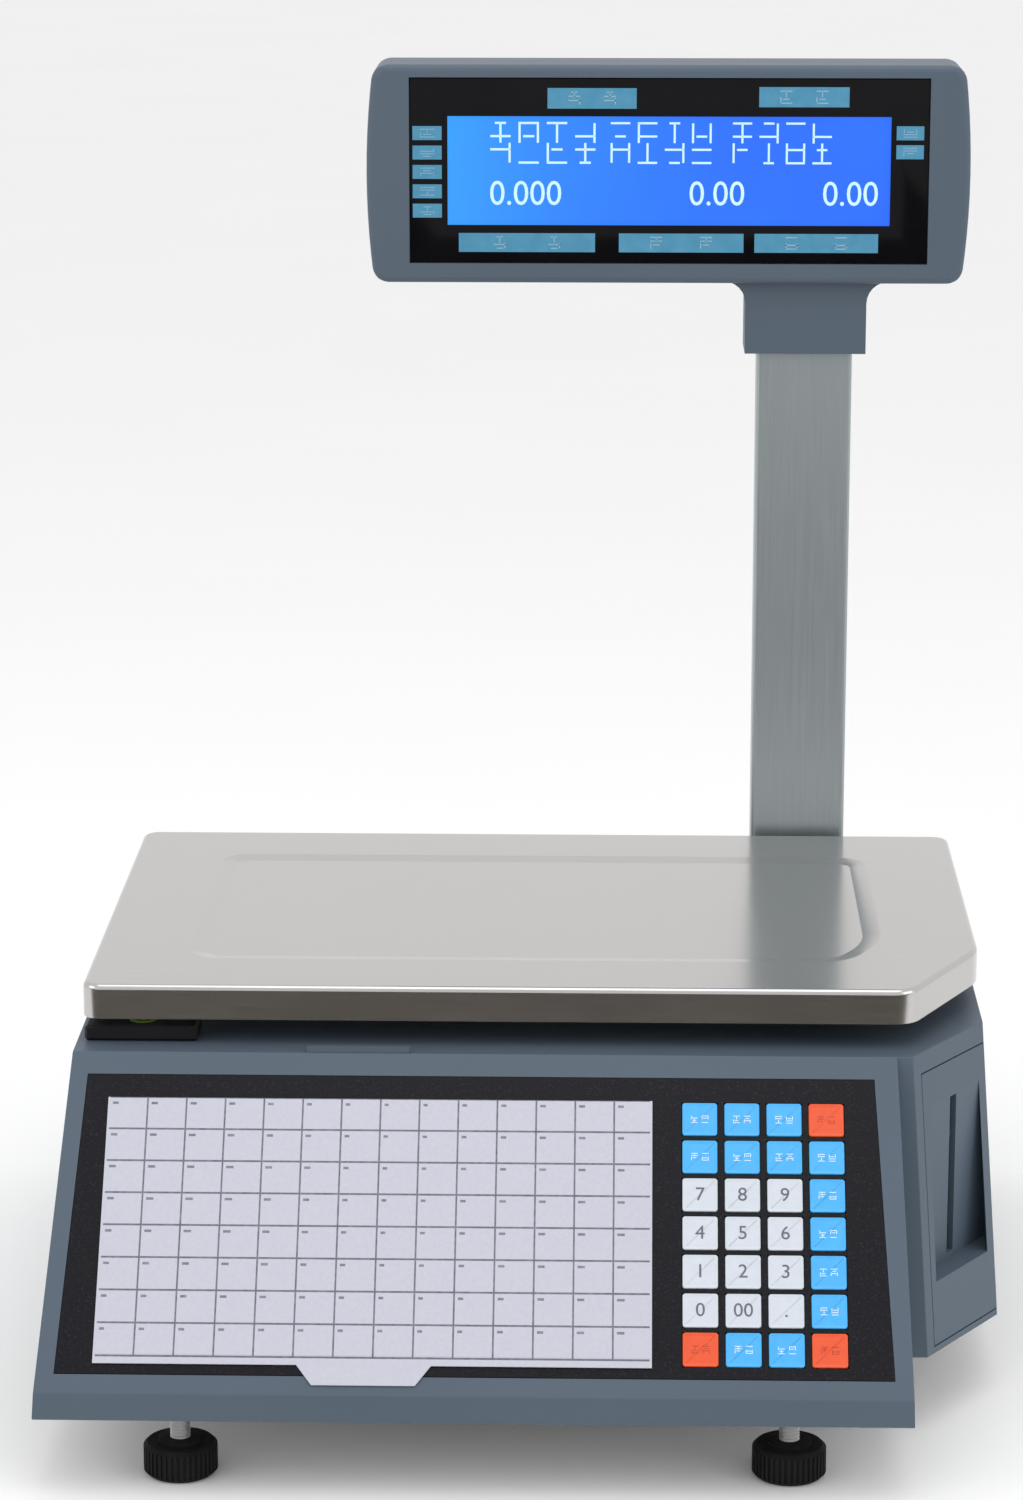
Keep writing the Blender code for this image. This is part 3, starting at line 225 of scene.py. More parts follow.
rubber = black_rubber()
zinc = zinc_plate()
foot_low, foot_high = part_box("foot_front_left")
foot_at = (foot_low + foot_high) / 2
foot_r = (foot_high.x - foot_low.x) / 2
disc_h, disc_edge, knurls, groove_edge, groove_depth = 0.0125, 0.0014, 80, 0.00012, 0.0006
hub_r, hub_h, hub_edge, sole_w, sole_depth = 0.0085, 0.0015, 0.0007, 0.0030, 0.0004
shrink = 1 - disc_edge / foot_r

pad = start(
    "foot_pad_front_left", bpy.ops.mesh.primitive_cylinder_add, vertices=knurls, radius=foot_r,
    depth=disc_h - 2 * disc_edge, location=(foot_at.x, foot_at.y, disc_h / 2),
)
pick("faces", lambda middle, face: abs(face.normal.z) < 0.5 and round(
    atan2(middle.y - foot_at.y, middle.x - foot_at.x) / (2 * pi) * knurls - 0.5
) % 2 == 0)
bpy.ops.mesh.inset(thickness=groove_edge, depth=-groove_depth, use_individual=True)
for upward in (1, -1):
    pick("faces", lambda middle, face: face.normal.z * upward > 0.9 and len(face.verts) == knurls)
    bpy.ops.mesh.extrude_region_move(TRANSFORM_OT_translate={"value": (0, 0, upward * disc_edge)})
    bpy.ops.transform.resize(value=(shrink, shrink, 1), center_override=(foot_at.x, foot_at.y, 0))
pick("faces", lambda middle, face: face.normal.z > 0.9 and middle.z > disc_h - 1e-4)
bpy.ops.mesh.inset(thickness=foot_r - disc_edge - hub_r)
bpy.ops.mesh.extrude_region_move(TRANSFORM_OT_translate={"value": (0, 0, hub_h)})
bpy.ops.mesh.inset(thickness=hub_edge, depth=0.0003)
pick("faces", lambda middle, face: face.normal.z < -0.9 and middle.z < 1e-5)
bpy.ops.mesh.inset(thickness=sole_w, depth=-sole_depth)
close(pad, rubber, "foot_front_left", 30)

stud_r, thread_depth, thread_pitch, stud_foot = 0.0040, 0.0005, 0.00125, disc_h + 0.0012
stud = start(
    "foot_stud_front_left", bpy.ops.mesh.primitive_circle_add, vertices=24, fill_type="NGON",
    radius=stud_r - thread_depth, location=(foot_at.x, foot_at.y, stud_foot),
)
bpy.ops.mesh.select_all(action="SELECT")
crest = stud_r / (stud_r - thread_depth)
for half_turn in range(int((foot_high.z - stud_foot) / thread_pitch * 2)):
    bpy.ops.mesh.extrude_region_move(TRANSFORM_OT_translate={"value": (0, 0, thread_pitch / 2)})
    grow = 1 / crest if half_turn % 2 else crest
    bpy.ops.transform.resize(value=(grow, grow, 1), center_override=(foot_at.x, foot_at.y, 0))
close(stud, zinc, "foot_front_left", 60)

for corner in ("front_right", "rear_left", "rear_right"):
    low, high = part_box("foot_" + corner)
    shift = Matrix.Translation((low + high) / 2 - foot_at)
    for kind, piece in (("pad", pad), ("stud", stud)):
        made = copy_of(piece, f"foot_{kind}_{corner}", shift, "foot_" + corner)
        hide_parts("foot_" + corner)
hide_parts("foot_front_left")
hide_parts("foot_front_left")


# ---------------------------------------------------------------- base, beam and electrics
# The base plate is zinc-plated sheet with the load cell block, the power supply and the main board
# screwed to it. The beam and its block are milled aluminium; the board is green, its sockets tinned.


def paint(finish, *names):
    """Gives CAD nodes a finish."""
    for name in names:
        node[name].data.materials.clear()
        node[name].data.materials.append(finish.material)


def milled_aluminium():
    finish = Finish("milled_aluminium", metallic=1.0)
    marks = finish.noise(60, 3, finish.stretched(3, 40, 3))
    finish.set({"Base Color": finish.between(marks, (0.62, 0.63, 0.64), (0.74, 0.74, 0.74))})
    finish.set({"Roughness": 0.26 + 0.2 * marks})
    return finish.bump(marks, 0.08, 0.0001)


def circuit_board(low, high):
    """Green lacquer with copper tracks showing through, and tinned metal from the sockets up."""
    finish = Finish("circuit_board", base_color=(0.02, 0.16, 0.06, 1))
    lacquer = {
        "Color1": (0.015, 0.13, 0.05, 1), "Color2": (0.02, 0.17, 0.07, 1), "Mortar": (0.05, 0.30, 0.12, 1),
    }
    lines = {"Vector": finish.place, "Scale": 180.0, "Mortar Size": 0.012}
    tracks = finish.node("ShaderNodeTexBrick", {"offset": 0.35}, {**lines, **lacquer})
    metal = (finish.z > low.z + 0.0018) * (finish.y > high.y - 0.018)
    finish.set({"Base Color": finish.between(metal, tracks, (0.66, 0.66, 0.66))})
    finish.set({"Metallic": metal, "Roughness": 0.45 - 0.15 * metal + 0.1 * finish.noise(200)})
    return finish


def black_moulding():
    """Black moulded plastic, with a fine etched grain and a little dust in its duller parts."""
    finish = Finish("black_moulding", specular_ior_level=0.2)
    grain = finish.noise(2200)
    dust = finish.noise(25, 3)
    finish.set({"Base Color": finish.between(dust, (0.006, 0.006, 0.007), (0.014, 0.014, 0.016))})
    finish.set({"Roughness": 0.36 + 0.2 * grain})
    return finish.bump(grain, 0.2, 0.0001)


milled = milled_aluminium()
black = black_moulding()
board = circuit_board(*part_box("main_board"))
paint(zinc, "base_pan", "power_supply", "printer_chassis")
paint(milled, "load_cell", "load_cell_block", "print_head", "platter_spider")
paint(board, "main_board", "keypad_board")
paint(black, "mains_inlet", "power_switch", "bubble_level", "roll_spindle", "liner_spool")
paint(rubber, "platen_roller")


def gilt():
    finish = Finish("gilt_contacts", metallic=1.0)
    wear = finish.noise(800, 2)
    finish.set({"Base Color": finish.between(wear, (0.72, 0.47, 0.16), (0.85, 0.60, 0.26))})
    return finish.set({"Roughness": 0.22 + 0.2 * wear})


contact_look = gilt()
board_low, board_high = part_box("main_board")
mouth_y = board_high.y - 0.0030
tongue_l, contact_w, contact_l, contact_t, contact_pitch = 0.0016, 0.0006, 0.0015, 0.0002, 0.0013
# Each socket as its place from the board's middle, and the width and height of its mouth.
sockets = {
    "network": (-0.050, 0.0128, 0.0103), "serial": (-0.013, 0.0278, 0.0093), "usb": (0.023, 0.0108, 0.0038),
}
for name, (across, width, height) in sockets.items():
    x, z = (board_low.x + board_high.x) / 2 + across, board_low.z + 0.0031 + height / 2
    insulator = start(
        name + "_insulator", bpy.ops.mesh.primitive_cube_add, size=1, location=(x, mouth_y, z),
        scale=(width, 0.0008, height),
    )
    pick("faces", lambda middle, face: face.normal.y > 0.9)
    bpy.ops.mesh.inset(thickness=0.3 * height)
    bpy.ops.mesh.extrude_region_move(TRANSFORM_OT_translate={"value": (0, tongue_l, 0)})
    bpy.ops.mesh.inset(thickness=0.0002, depth=0.0001)
    close(insulator, black, "housing")
    count = int(width * 0.55 / contact_pitch)
    contacts = start(
        name + "_contacts", bpy.ops.mesh.primitive_cube_add, size=1, scale=(contact_w, contact_l, contact_t),
        location=(x - contact_pitch / 2 * (count - 1), mouth_y + 0.0012, z + 0.2 * height + contact_t / 2),
    )
    pick("edges", lambda middle, edge: middle.y > mouth_y + 0.0019 and level(edge))
    bpy.ops.mesh.bevel(offset=0.00006, affect="EDGES")
    bpy.ops.object.mode_set(mode="OBJECT")
    bpy.ops.object.modifier_add(type="ARRAY")
    row = contacts.modifiers[-1]
    row.use_relative_offset = False
    row.use_constant_offset = True
    row.constant_offset_displace = (contact_pitch, 0, 0)
    row.count = count
    bpy.ops.object.modifier_apply(modifier=row.name)
    close(contacts, contact_look, "housing")


# ---------------------------------------------------------------- housing and printer door
# The housing and the door are moulded in slate-grey plastic with a fine etched grain. The door
# wraps the printer's cut corner and right side, and carries the label pocket and its slot.


def slate_plastic():
    finish = Finish("slate_plastic", specular_ior_level=0.32)
    grain = finish.noise(1500, 3)
    drift = finish.noise(9, 2)
    finish.set({"Base Color": finish.between(drift, (0.070, 0.097, 0.130), (0.084, 0.113, 0.149))})
    finish.set({"Roughness": 0.38 + 0.16 * grain})
    return finish.bump(grain, 0.25, 0.00012)


slate = slate_plastic()
paint(slate, "upper_housing", "printer_door", "display_front_shell", "display_rear_shell")


# ---------------------------------------------------------------- keyboard
# A black printed film is stuck in a recess of the sloped panel. A loose white card of preset keys
# slides over its left part, pulled out by its tongue, and the 28 keys stand through its right part.

press = next(joint for joint in frame["joints"] if joint["name"] == "press_7")
slope = atan2(-press["axis"][1], press["axis"][2])
tilt = Matrix.Rotation(slope, 4, "X")


def black_film():
    finish = Finish("black_film", specular_ior_level=0.16)
    speckle = finish.noise(1300, 4)
    stops = ((0.56, (0.005, 0.005, 0.008)), (0.80, (0.034, 0.028, 0.040)))
    spots = finish.node("ShaderNodeValToRGB", {"stops": stops}, {"Fac": speckle})
    finish.set({"Base Color": spots, "Roughness": 0.30 + 0.15 * speckle})
    return finish.bump(speckle, 0.12, 0.00008)


def preset_card(low, high, columns=14, rows=8):
    """White card printed with a grid of thin grey lines and a short mark in each cell."""
    finish = Finish("preset_card")
    across = (finish.x - low.x) / (high.x - low.x)
    rise = Vector((high.y - low.y, high.z - low.z))
    up = ((finish.y - low.y) * rise.x + (finish.z - low.z) * rise.y) / rise.length_squared
    grid_foot, grid_head = 0.092, 0.995
    up = (up - grid_foot) / (grid_head - grid_foot)
    column, row = across * columns, up * rows
    in_column, in_row = finish.maths("FRACT", column), finish.maths("FRACT", row)
    line = finish.maths("MAXIMUM", (in_column < 0.045), (in_row < 0.06))
    inside = (up > 0.0) * (across > 0.004) * (across < 0.996)
    ink = finish.noise(420, 2)
    mark_length = finish.noise(7, 1)
    mark = (in_column > 0.12) * (in_column < 0.12 + 0.3 * mark_length)
    mark = mark * (in_row > 0.80) * (in_row < 0.88)
    paper = finish.between(finish.noise(700, 3), (0.455, 0.46, 0.535), (0.53, 0.535, 0.61))
    # A thin band along the foot of the grid is darkened towards grey: painted shade.
    paper = finish.between(inside * 0.55 * (up < 0.012), paper, (0.38, 0.39, 0.44))
    printed = finish.between(inside * line * (0.62 + 0.5 * ink), paper, (0.085, 0.09, 0.12))
    printed = finish.between(inside * mark * (0.45 + 0.5 * ink), printed, (0.05, 0.05, 0.08))
    finish.set({"Base Color": printed, "Roughness": 0.42 + 0.15 * ink})
    return finish


def satin_plastic(name, colour, shade):
    """Moulded or printed plastic with a soft sheen, a little worn."""
    finish = Finish(name)
    wear = finish.noise(260, 3)
    finish.set({"Base Color": finish.between(wear, colour, shade), "Roughness": 0.30 + 0.15 * wear})
    return finish.bump(finish.noise(2500), 0.1, 0.00005)


film = black_film()
paint(film, "keypad_overlay")
paint(preset_card(*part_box("preset_key_card")), "preset_key_card")

key_looks = {
    "white_key": satin_plastic("white_key", (0.53, 0.57, 0.63), (0.61, 0.65, 0.71)),
    "blue_key": satin_plastic("blue_key", (0.040, 0.36, 0.78), (0.065, 0.43, 0.85)),
    "orange_key": satin_plastic("orange_key", (0.70, 0.062, 0.010), (0.78, 0.095, 0.02)),
}
inks = {
    "white_key": satin_plastic("grey_ink", (0.07, 0.08, 0.10), (0.14, 0.15, 0.18)),
    "blue_key": satin_plastic("pale_ink", (0.62, 0.74, 0.88), (0.78, 0.86, 0.95)),
    "orange_key": satin_plastic("rust_ink", (0.40, 0.03, 0.01), (0.55, 0.05, 0.015)),
}
slot_of = {part["node"]: part["material_slot"] for part in frame["record"]["subparts"]}
key_names = [name for name in node if name.startswith("key_")]
low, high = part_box("key_7")
key_w = high.x - low.x
key_t = (high.y - low.y - key_w * cos(slope)) / sin(slope)
dish = 0.00015

cap = start(
    "key_cap", bpy.ops.mesh.primitive_cube_add, size=1, scale=(key_w, key_w, key_t),
)
pick("edges", lambda middle, edge: not level(edge))
bpy.ops.mesh.bevel(offset=0.0011, segments=4, affect="EDGES")
pick("edges", lambda middle, edge: level(edge) and middle.z > 0)
bpy.ops.mesh.bevel(offset=0.0003, segments=2, affect="EDGES")
pick("faces", lambda middle, face: face.normal.z > 0.99)
bpy.ops.mesh.inset(thickness=0.0010, depth=-dish)
bpy.ops.object.mode_set(mode="OBJECT")


def blank(name):
    """An open mesh with nothing in it yet."""
    made = start(name, bpy.ops.mesh.primitive_plane_add, size=1e-4)
    bpy.ops.mesh.select_all(action="SELECT")
    bpy.ops.mesh.delete(type="VERT")
    return made


def strokes(name, cells, thick):
    """Plain made-up signs, one per cell (x, y, width, height, seed), of short bars in the XY plane."""
    made = blank(name)
    for x, y, width, height, seed in cells:
        bar = 0.11 * min(width, height)
        for i in range(4):
            if (seed * 5 + i * 3) % 4:
                place = (x, y + height * (i / 3 - 0.5), 0)
                length = width * (1.0 if (seed + i) % 3 else 0.55)
                bpy.ops.mesh.primitive_cube_add(size=1, location=place, scale=(length, bar, thick))
        for i in range(3):
            if (seed * 7 + i * 5) % 3:
                place = (x + width * (i / 2 - 0.5) * 0.9, y + height * 0.5 * ((seed + i) % 2 - 0.5), 0)
                bpy.ops.mesh.primitive_cube_add(size=1, location=place, scale=(bar, height / 2, thick))
    bpy.ops.mesh.select_all(action="SELECT")
    bpy.ops.mesh.bevel(offset=thick / 8, affect="EDGES")
    bpy.ops.object.mode_set(mode="OBJECT")
    return made


def digits(name, text, size, thick):
    """Figures in a plain face, made a mesh and given a little thickness, centred on the origin."""
    bpy.ops.object.select_all(action="DESELECT")
    bpy.ops.object.text_add(location=(0, 0, 0))
    made = bpy.context.object
    made.data.body, made.data.size, made.data.extrude = text, size, thick / 2
    made.data.align_x, made.data.align_y = "CENTER", "CENTER"
    made.data.resolution_u = 4
    bpy.ops.object.convert(target="MESH")
    made.name = made.data.name = name
    return made


ink_t, figure_h = 0.00006, 0.0078
legends = {"point": ".", "00": "00", **{str(figure): str(figure) for figure in range(10)}}
for seed, name in enumerate(sorted(key_names)):
    low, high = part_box(name)
    look = slot_of[name]
    seat = Matrix.Translation((low + high) / 2) @ tilt
    made = copy_of(cap, name + "_cap", seat, name)
    made.data.materials.append(key_looks[look].material)
    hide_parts(name)
    printed_on = seat @ Matrix.Translation((0, 0, key_t / 2 - dish + ink_t / 2))
    legend = legends.get(name[4:])
    if legend:
        sign = digits(name + "_print", legend, figure_h, ink_t)
    else:
        pair = [(side * 0.0021, 0, 0.0026, 0.0028, seed * 3 + side) for side in (-1, 1)]
        sign = strokes(name + "_print", pair, ink_t)
    sign.data.transform(printed_on)
    close(sign, inks[look], name)
bpy.data.objects.remove(cap)


# ---------------------------------------------------------------- label printer
# Behind the door the roll of paper labels stands on its spindle beside the platen and the head. The
# labels are die-cut paper on a waxed backing strip, wound on a core that slips over the spindle.


def label_paper(centre):
    """The roll's ends show the edges of its wound turns, alternating label and backing."""
    finish = Finish("label_paper")
    across, along = finish.x - centre.x, finish.y - centre.y
    radius = finish.maths("SQRT", across * across + along * along)
    turn = finish.maths("FRACT", radius * 2600)
    fibre = finish.noise(900, 3)
    finish.set({"Base Color": finish.between(turn * 0.6, (0.84, 0.84, 0.82), (0.62, 0.60, 0.52))})
    finish.set({"Roughness": 0.6 + 0.25 * fibre})
    return finish.bump(fibre, 0.1, 0.0001)


roll_low, roll_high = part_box("label_roll")
paint(label_paper((roll_low + roll_high) / 2), "label_roll")


# ---------------------------------------------------------------- platter
# A tray pressed from 1.2 mm stainless sheet, brushed along its width: rounded corners, one cut
# corner, a skirt open at its foot, and a middle panel sunk by a sloped step all round.


def brushed_stainless():
    finish = Finish("brushed_stainless", metallic=1.0)
    brush = finish.noise(40, 5, finish.stretched(1.2, 60, 60))
    smear = finish.noise(14, 3)
    finish.set({"Base Color": finish.between(brush, (0.485, 0.470, 0.462), (0.555, 0.540, 0.530))})
    finish.set({"Roughness": 0.11 + 0.10 * brush + 0.06 * smear})
    return finish.bump(brush, 0.03, 0.00005)


stainless = brushed_stainless()
low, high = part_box("platter")
width, depth, skirt = high.x - low.x, high.y - low.y, high.z - low.z
middle_x, middle_y = (low.x + high.x) / 2, (low.y + high.y) / 2
corner_in, corner_turn = 0.0305, radians(27)
corner_normal = (cos(corner_turn), -sin(corner_turn), 0)
edge_r, corner_r, sheet_t = 0.0022, 0.007, 0.0012
panel_in, panel_corner_r, step_w, step_h, step_round = 0.0383, 0.013, 0.0080, 0.0010, 0.0006

platter = start(
    "platter_tray", bpy.ops.mesh.primitive_plane_add, size=1, location=(middle_x, middle_y, low.z),
)
bpy.ops.mesh.select_all(action="SELECT")
bpy.ops.transform.resize(value=(width, depth, 1), center_override=(middle_x, middle_y, low.z))
bpy.ops.mesh.bisect(
    plane_co=(high.x - corner_in, low.y, low.z), plane_no=corner_normal, clear_outer=True
)
bpy.ops.mesh.select_all(action="SELECT")
bpy.ops.mesh.bevel(offset=corner_r, segments=8, affect="VERTICES")
bpy.ops.mesh.select_all(action="SELECT")
bpy.ops.mesh.extrude_region_move(TRANSFORM_OT_translate={"value": (0, 0, skirt)})
pick("edges", lambda middle, edge: level(edge) and middle.z > high.z - 1e-5)
bpy.ops.mesh.bevel(offset=edge_r, segments=5, affect="EDGES")
pick("faces", lambda middle, face: len(face.verts) > 20)
bpy.ops.mesh.delete(type="FACE")
bpy.ops.mesh.primitive_plane_add(size=1, location=(middle_x, middle_y, high.z))
bpy.ops.transform.resize(value=(width - 2 * panel_in, depth - 2 * panel_in, 1))
cut_in = corner_in + panel_in * (1 - sin(corner_turn)) / cos(corner_turn)
bpy.ops.mesh.bisect(
    plane_co=(high.x - cut_in, low.y + panel_in, high.z), plane_no=corner_normal, clear_outer=True
)
pick("faces", lambda middle, face: len(face.verts) > 4)
bpy.ops.mesh.bevel(offset=panel_corner_r, segments=6, affect="VERTICES")
pick("faces", lambda middle, face: len(face.verts) > 20)
bpy.ops.mesh.inset(thickness=step_round)
bpy.ops.mesh.inset(thickness=step_w - 2 * step_round, depth=-step_h)
bpy.ops.mesh.inset(thickness=step_round)
pick("edges", lambda middle, edge: edge.is_boundary and middle.z > high.z - 1e-4)
bpy.ops.mesh.bridge_edge_loops()
bpy.ops.mesh.select_all(action="SELECT")
bpy.ops.mesh.normals_make_consistent(inside=False)
bpy.ops.object.mode_set(mode="OBJECT")
bpy.ops.object.modifier_add(type="SOLIDIFY")
platter.modifiers[-1].thickness = sheet_t
platter.modifiers[-1].offset = -1
bpy.ops.object.modifier_apply(modifier=platter.modifiers[-1].name)
close(platter, stainless, "platter", 30)
bpy.ops.object.modifier_add(type="WEIGHTED_NORMAL")
platter.modifiers[-1].keep_sharp = True
bpy.ops.object.modifier_apply(modifier=platter.modifiers[-1].name)
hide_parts("platter")


# ---------------------------------------------------------------- bubble level
# A round vial of green spirit is pressed into the black moulded block at the deck's front left
# corner, where it shows when the feet have made the scale level.


def spirit(centre, radius):
    """Green liquid with its pale bubble and the black ring that the bubble is set in."""
    finish = Finish("green_spirit", roughness=0.08)
    across, along = finish.x - centre.x, finish.y - centre.y
    out = finish.maths("SQRT", across * across + along * along) / radius
    ring = (out > 0.44) * (out < 0.54)
    bubble = out < 0.30
    liquid = finish.between(finish.noise(300), (0.30, 0.62, 0.05), (0.42, 0.74, 0.08))
    liquid = finish.between(bubble, liquid, (0.75, 0.90, 0.45))
    finish.set({"Base Color": finish.between(ring, liquid, (0.01, 0.02, 0.01))})
    return finish


low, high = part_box("bubble_level")
level_at, vial_r = (low + high) / 2, 0.0056
vial = start(
    "level_vial", bpy.ops.mesh.primitive_cylinder_add, vertices=40, radius=vial_r, depth=0.0012,
    location=(level_at.x, level_at.y, high.z - 0.0008),
)
pick("faces", lambda middle, face: face.normal.z > 0.9)
bpy.ops.mesh.inset(thickness=0.0006, depth=0.0002)
bpy.ops.mesh.inset(thickness=0.0020, depth=0.0001)
close(vial, spirit(level_at, vial_r), "housing", 50)


# ---------------------------------------------------------------- pole
# The pole is a rectangular extruded aluminium tube, brushed along its length and anodised grey. It
# stands in the base and carries the display head in the collar at its top.


def anodised():
    finish = Finish("grey_anodised", metallic=0.85)
    brush = finish.noise(30, 4, finish.stretched(60, 60, 1))
    finish.set({"Base Color": finish.between(brush, (0.31, 0.35, 0.365), (0.40, 0.44, 0.455))})
    finish.set({"Roughness": 0.30 + 0.14 * brush})
    return finish.bump(brush, 0.04, 0.00005)


paint(anodised(), "display_pole")


# ---------------------------------------------------------------- display head
# Each side of the head has a black pane with a clear opening for the lit screen, and printed
# name fields round it with made-up marks. The customer's side is the same as the operator's.


def black_pane():
    finish = Finish("black_pane", specular_ior_level=0.12)
    haze = finish.noise(50, 3)
    finish.set({"Base Color": finish.between(haze, (0.002, 0.002, 0.003), (0.005, 0.005, 0.006))})
    finish.set({"Roughness": 0.10 + 0.08 * haze})
    return finish


def lit_screen(low, high):
    """Backlit blue: brightest at its left edge, where the lamps are, with a faint dot raster."""
    finish = Finish("lit_screen", roughness=0.35, specular_ior_level=0.1, emission_strength=0.9)
    along = (finish.x - low.x) / (high.x - low.x)
    edge = finish.maths("POWER", 1 - along, 3.0)
    cloud = finish.noise(18, 3)
    raster = (finish.maths("FRACT", finish.x * 1400) < 0.16) * 0.12
    glow = finish.between(edge * 0.8 + 0.25 * cloud, (0.026, 0.135, 0.98), (0.045, 0.40, 0.95))
    glow = finish.between(raster, glow, (0.02, 0.07, 0.6))
    finish.set({"Base Color": (0.01, 0.03, 0.15, 1), "Emission Color": glow})
    return finish


# The name fields' print is given a faint glow in its own tint: painted light, as no lamp lies behind the fields.
def field_print():
    finish = Finish("field_print", specular_ior_level=0.2, emission_strength=0.12)
    patch = finish.noise(160, 3)
    tint = finish.between(patch, (0.045, 0.19, 0.32), (0.085, 0.27, 0.40))
    finish.set({"Base Color": tint, "Emission Color": tint, "Roughness": 0.3 + 0.1 * patch})
    return finish


def lit_segments():
    finish = Finish("lit_segments", emission_strength=0.9)
    tint = finish.between(finish.noise(220, 2), (0.24, 0.46, 0.92), (0.44, 0.66, 0.98))
    return finish.set({"Base Color": (0.3, 0.4, 0.6, 1), "Emission Color": tint})


pane_low, pane_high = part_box("front_window")
lcd_low, lcd_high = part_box("front_lcd")
pane_w, pane_h = pane_high.x - pane_low.x, pane_high.z - pane_low.z
pane_mid = (pane_low + pane_high) / 2
pane_look, glowing_field_look, segment_look = black_pane(), field_print(), lit_segments()
screen_margin = lcd_low.x - pane_low.x + 0.0003

pane = start(
    "front_pane", bpy.ops.mesh.primitive_cube_add, size=1, location=pane_mid,
    scale=(pane_w, pane_high.y - pane_low.y, pane_h),
)
pick("edges", lambda middle, edge: abs(middle.y - pane_low.y) < 1e-6)
bpy.ops.mesh.bevel(offset=0.0003, segments=2, affect="EDGES")
pick("faces", lambda middle, face: abs(face.normal.y) > 0.99)
bpy.ops.mesh.inset(thickness=screen_margin)
bpy.ops.mesh.bridge_edge_loops()
close(pane, pane_look, "housing")

# Name fields as (left, right, top, bottom) from the pane's top left corner.
fields = [(0.0594, 0.0977, 0.0042, 0.0130), (0.1503, 0.1890, 0.0036, 0.0122)]
fields += [(0.0012, 0.0138, 0.0206 + i * 0.00835, 0.0266 + i * 0.00835) for i in range(5)]
fields += [(0.2095, 0.2213, 0.0202 + i * 0.0081, 0.0262 + i * 0.0081) for i in range(2)]
fields += [(a, b, 0.0666, 0.0748) for a, b in ((0.0211, 0.0801), (0.0904, 0.1443), (0.1490, 0.2024))]
field_t = 0.0001
labels = blank("front_fields")
for left, right, top, foot in fields:
    at = (pane_low.x + (left + right) / 2, pane_low.y - field_t / 2, pane_high.z - (top + foot) / 2)
    bpy.ops.mesh.primitive_cube_add(size=1, location=at, scale=(right - left, field_t, foot - top))
bpy.ops.mesh.select_all(action="SELECT")
bpy.ops.mesh.bevel(offset=field_t / 4, affect="EDGES")
close(labels, glowing_field_look, "housing")

sign_t = 0.0001
facing = Matrix.Rotation(pi / 2, 4, "X")
pale_print = satin_plastic("pale_print", (0.16, 0.34, 0.46), (0.26, 0.46, 0.58))
marks = []
for seed, (left, right, top, foot) in enumerate(fields):
    tall, wide = foot - top, right - left
    up = -(top + foot) / 2
    if wide > 0.03:
        marks += [(left + wide * along, up, 0.0052, 0.6 * tall, seed * 2) for along in (0.3, 0.7)]
    else:
        marks.append(((left + right) / 2, up, 0.5 * wide, 0.55 * tall, seed))
field_marks = strokes("front_field_marks", marks, field_t)
marks_at = (pane_low.x, pane_low.y - field_t * 1.4, pane_high.z)
field_marks.data.transform(Matrix.Translation(marks_at) @ facing)
close(field_marks, pale_print, "housing")

# The screen's upper line is three words of four signs, and its lower line three numbers.
cells, signs_up, number_up = [], -0.0278, -0.0500
for group, (left, right) in enumerate(((0.0330, 0.0818), (0.0850, 0.1317), (0.1376, 0.1834))):
    pitch = (right - left) / 4
    cells += [
        (left + pitch * (i + 0.5), signs_up, 0.72 * pitch, 0.0170, group * 4 + i) for i in range(4)
    ]
signs = strokes("front_signs", cells, sign_t)
signs.data.transform(Matrix.Translation((pane_low.x, lcd_low.y - sign_t / 2, pane_high.z)) @ facing)
close(signs, segment_look, "housing")
display_pieces = [pane, labels, field_marks, signs]
for i, (text, middle) in enumerate((("0.000", 0.0500), ("0.00", 0.1326), ("0.00", 0.1902))):
    number = digits(f"front_number_{i}", text, 0.0150, sign_t)
    number.data.transform(Matrix.Diagonal((0.95, 1.0, 1.0, 1.0)))
    place = (pane_low.x + middle, lcd_low.y - sign_t / 2, pane_high.z + number_up)
    number.data.transform(Matrix.Translation(place) @ facing)
    close(number, segment_look, "housing")
    display_pieces.append(number)

rear_face_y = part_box("rear_window")[1].y
head_mid = Vector((pane_mid.x, (pane_low.y + rear_face_y) / 2, 0))
turn_round = Matrix.Translation(head_mid) @ Matrix.Rotation(pi, 4, "Z") @ Matrix.Translation(-head_mid)
for piece in display_pieces:
    copy_of(piece, piece.name.replace("front", "rear"), turn_round, "housing")
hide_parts("front_window")
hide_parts("rear_window")
paint(lit_screen(lcd_low, lcd_high), "front_lcd")
rear_lcd_low, rear_lcd_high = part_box("rear_lcd")
paint(lit_screen(rear_lcd_high, rear_lcd_low), "rear_lcd")


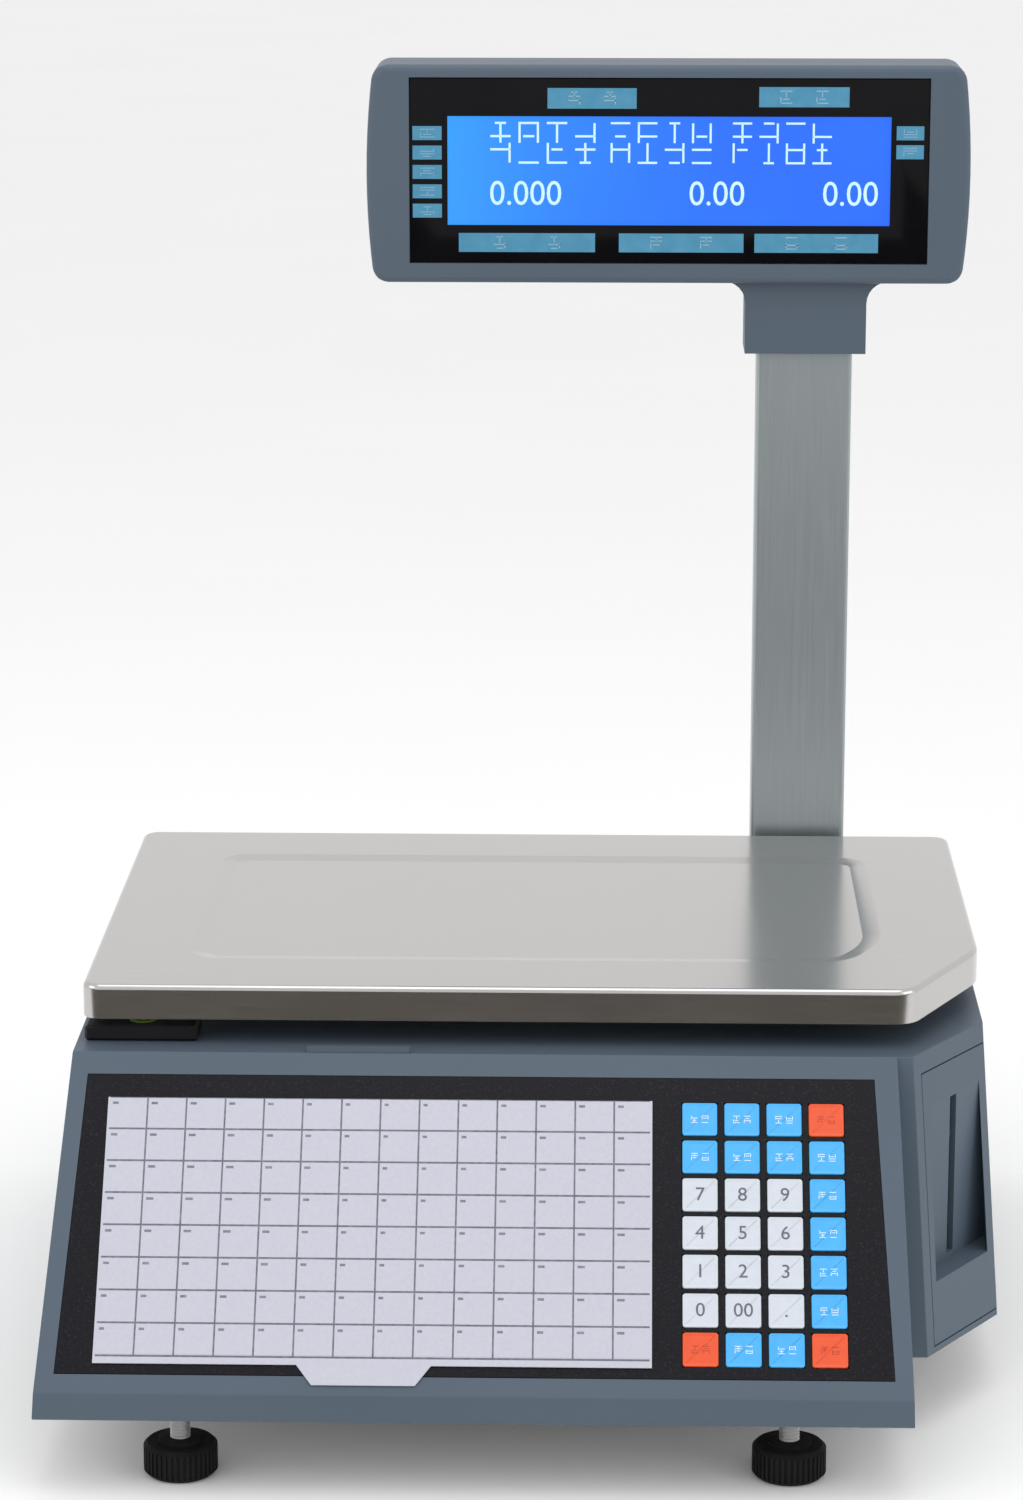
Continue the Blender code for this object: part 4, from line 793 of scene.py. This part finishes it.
# ---------------------------------------------------------------- studio
# A white table, with soft light from both sides and above. A dark board lies in front, out of the
# picture, so that the platter's upright skirt has something dark to reflect.

bpy.ops.object.select_all(action="DESELECT")
bpy.ops.mesh.primitive_plane_add(size=26, location=(0, 0, -0.0003))
floor = bpy.context.object
floor.name = "white_table"
table = Finish("white_table", roughness=0.6)
table.set({"Base Color": table.between(table.noise(3), (0.90, 0.90, 0.90), (0.93, 0.93, 0.93))})
floor.data.materials.append(table.material)

bpy.ops.mesh.primitive_plane_add(size=1)
flag = bpy.context.object
flag.name = "dark_board"
flag.location = (0, -1.04, 0.001)
flag.data.transform(Matrix.Diagonal((3.2, 1.3, 1, 1)))
dark = Finish("dark_board", roughness=0.9)
dark.set({"Base Color": dark.between(dark.noise(6), (0.045, 0.034, 0.022), (0.060, 0.048, 0.034))})
flag.data.materials.append(dark.material)
flag.visible_camera = False
flag.visible_diffuse = flag.visible_shadow = False

world = bpy.context.scene.world or bpy.data.worlds.new("studio")
bpy.context.scene.world = world
world.use_nodes = True
background = world.node_tree.nodes["Background"].inputs
background["Color"].default_value, background["Strength"].default_value = (1.0, 1.0, 1.0, 1), 0.95
bpy.context.scene.view_settings.view_transform = "Standard"


def soft_light(name, place, aim, size, power):
    """A square soft box at a place, turned to its aim."""
    bpy.ops.object.light_add(type="AREA", location=place)
    light = bpy.context.object
    light.name = name
    light.data.size, light.data.energy = size, power
    light.rotation_euler = (Vector(aim) - Vector(place)).to_track_quat("-Z", "Y").to_euler()


soft_light("left_softbox", (-1.4, -0.7, 0.9), (0, 0, 0.15), 1.0, 4)
soft_light("right_softbox", (1.4, -0.7, 0.8), (0.05, 0, 0.12), 1.0, 4)
soft_light("top_softbox", (0.1, -0.25, 1.7), (0, 0, 0.1), 1.2, 6)

look_down, look_left = radians(13.664), radians(1.440)
bpy.ops.object.camera_add(
    location=(0.03376, -1.75264, 0.67273), rotation=(pi / 2 - look_down, 0, look_left)
)
camera = bpy.context.object
camera.data.lens, camera.data.sensor_width = 105.6, 36
bpy.context.scene.camera = camera

bpy.context.view_layer.update()
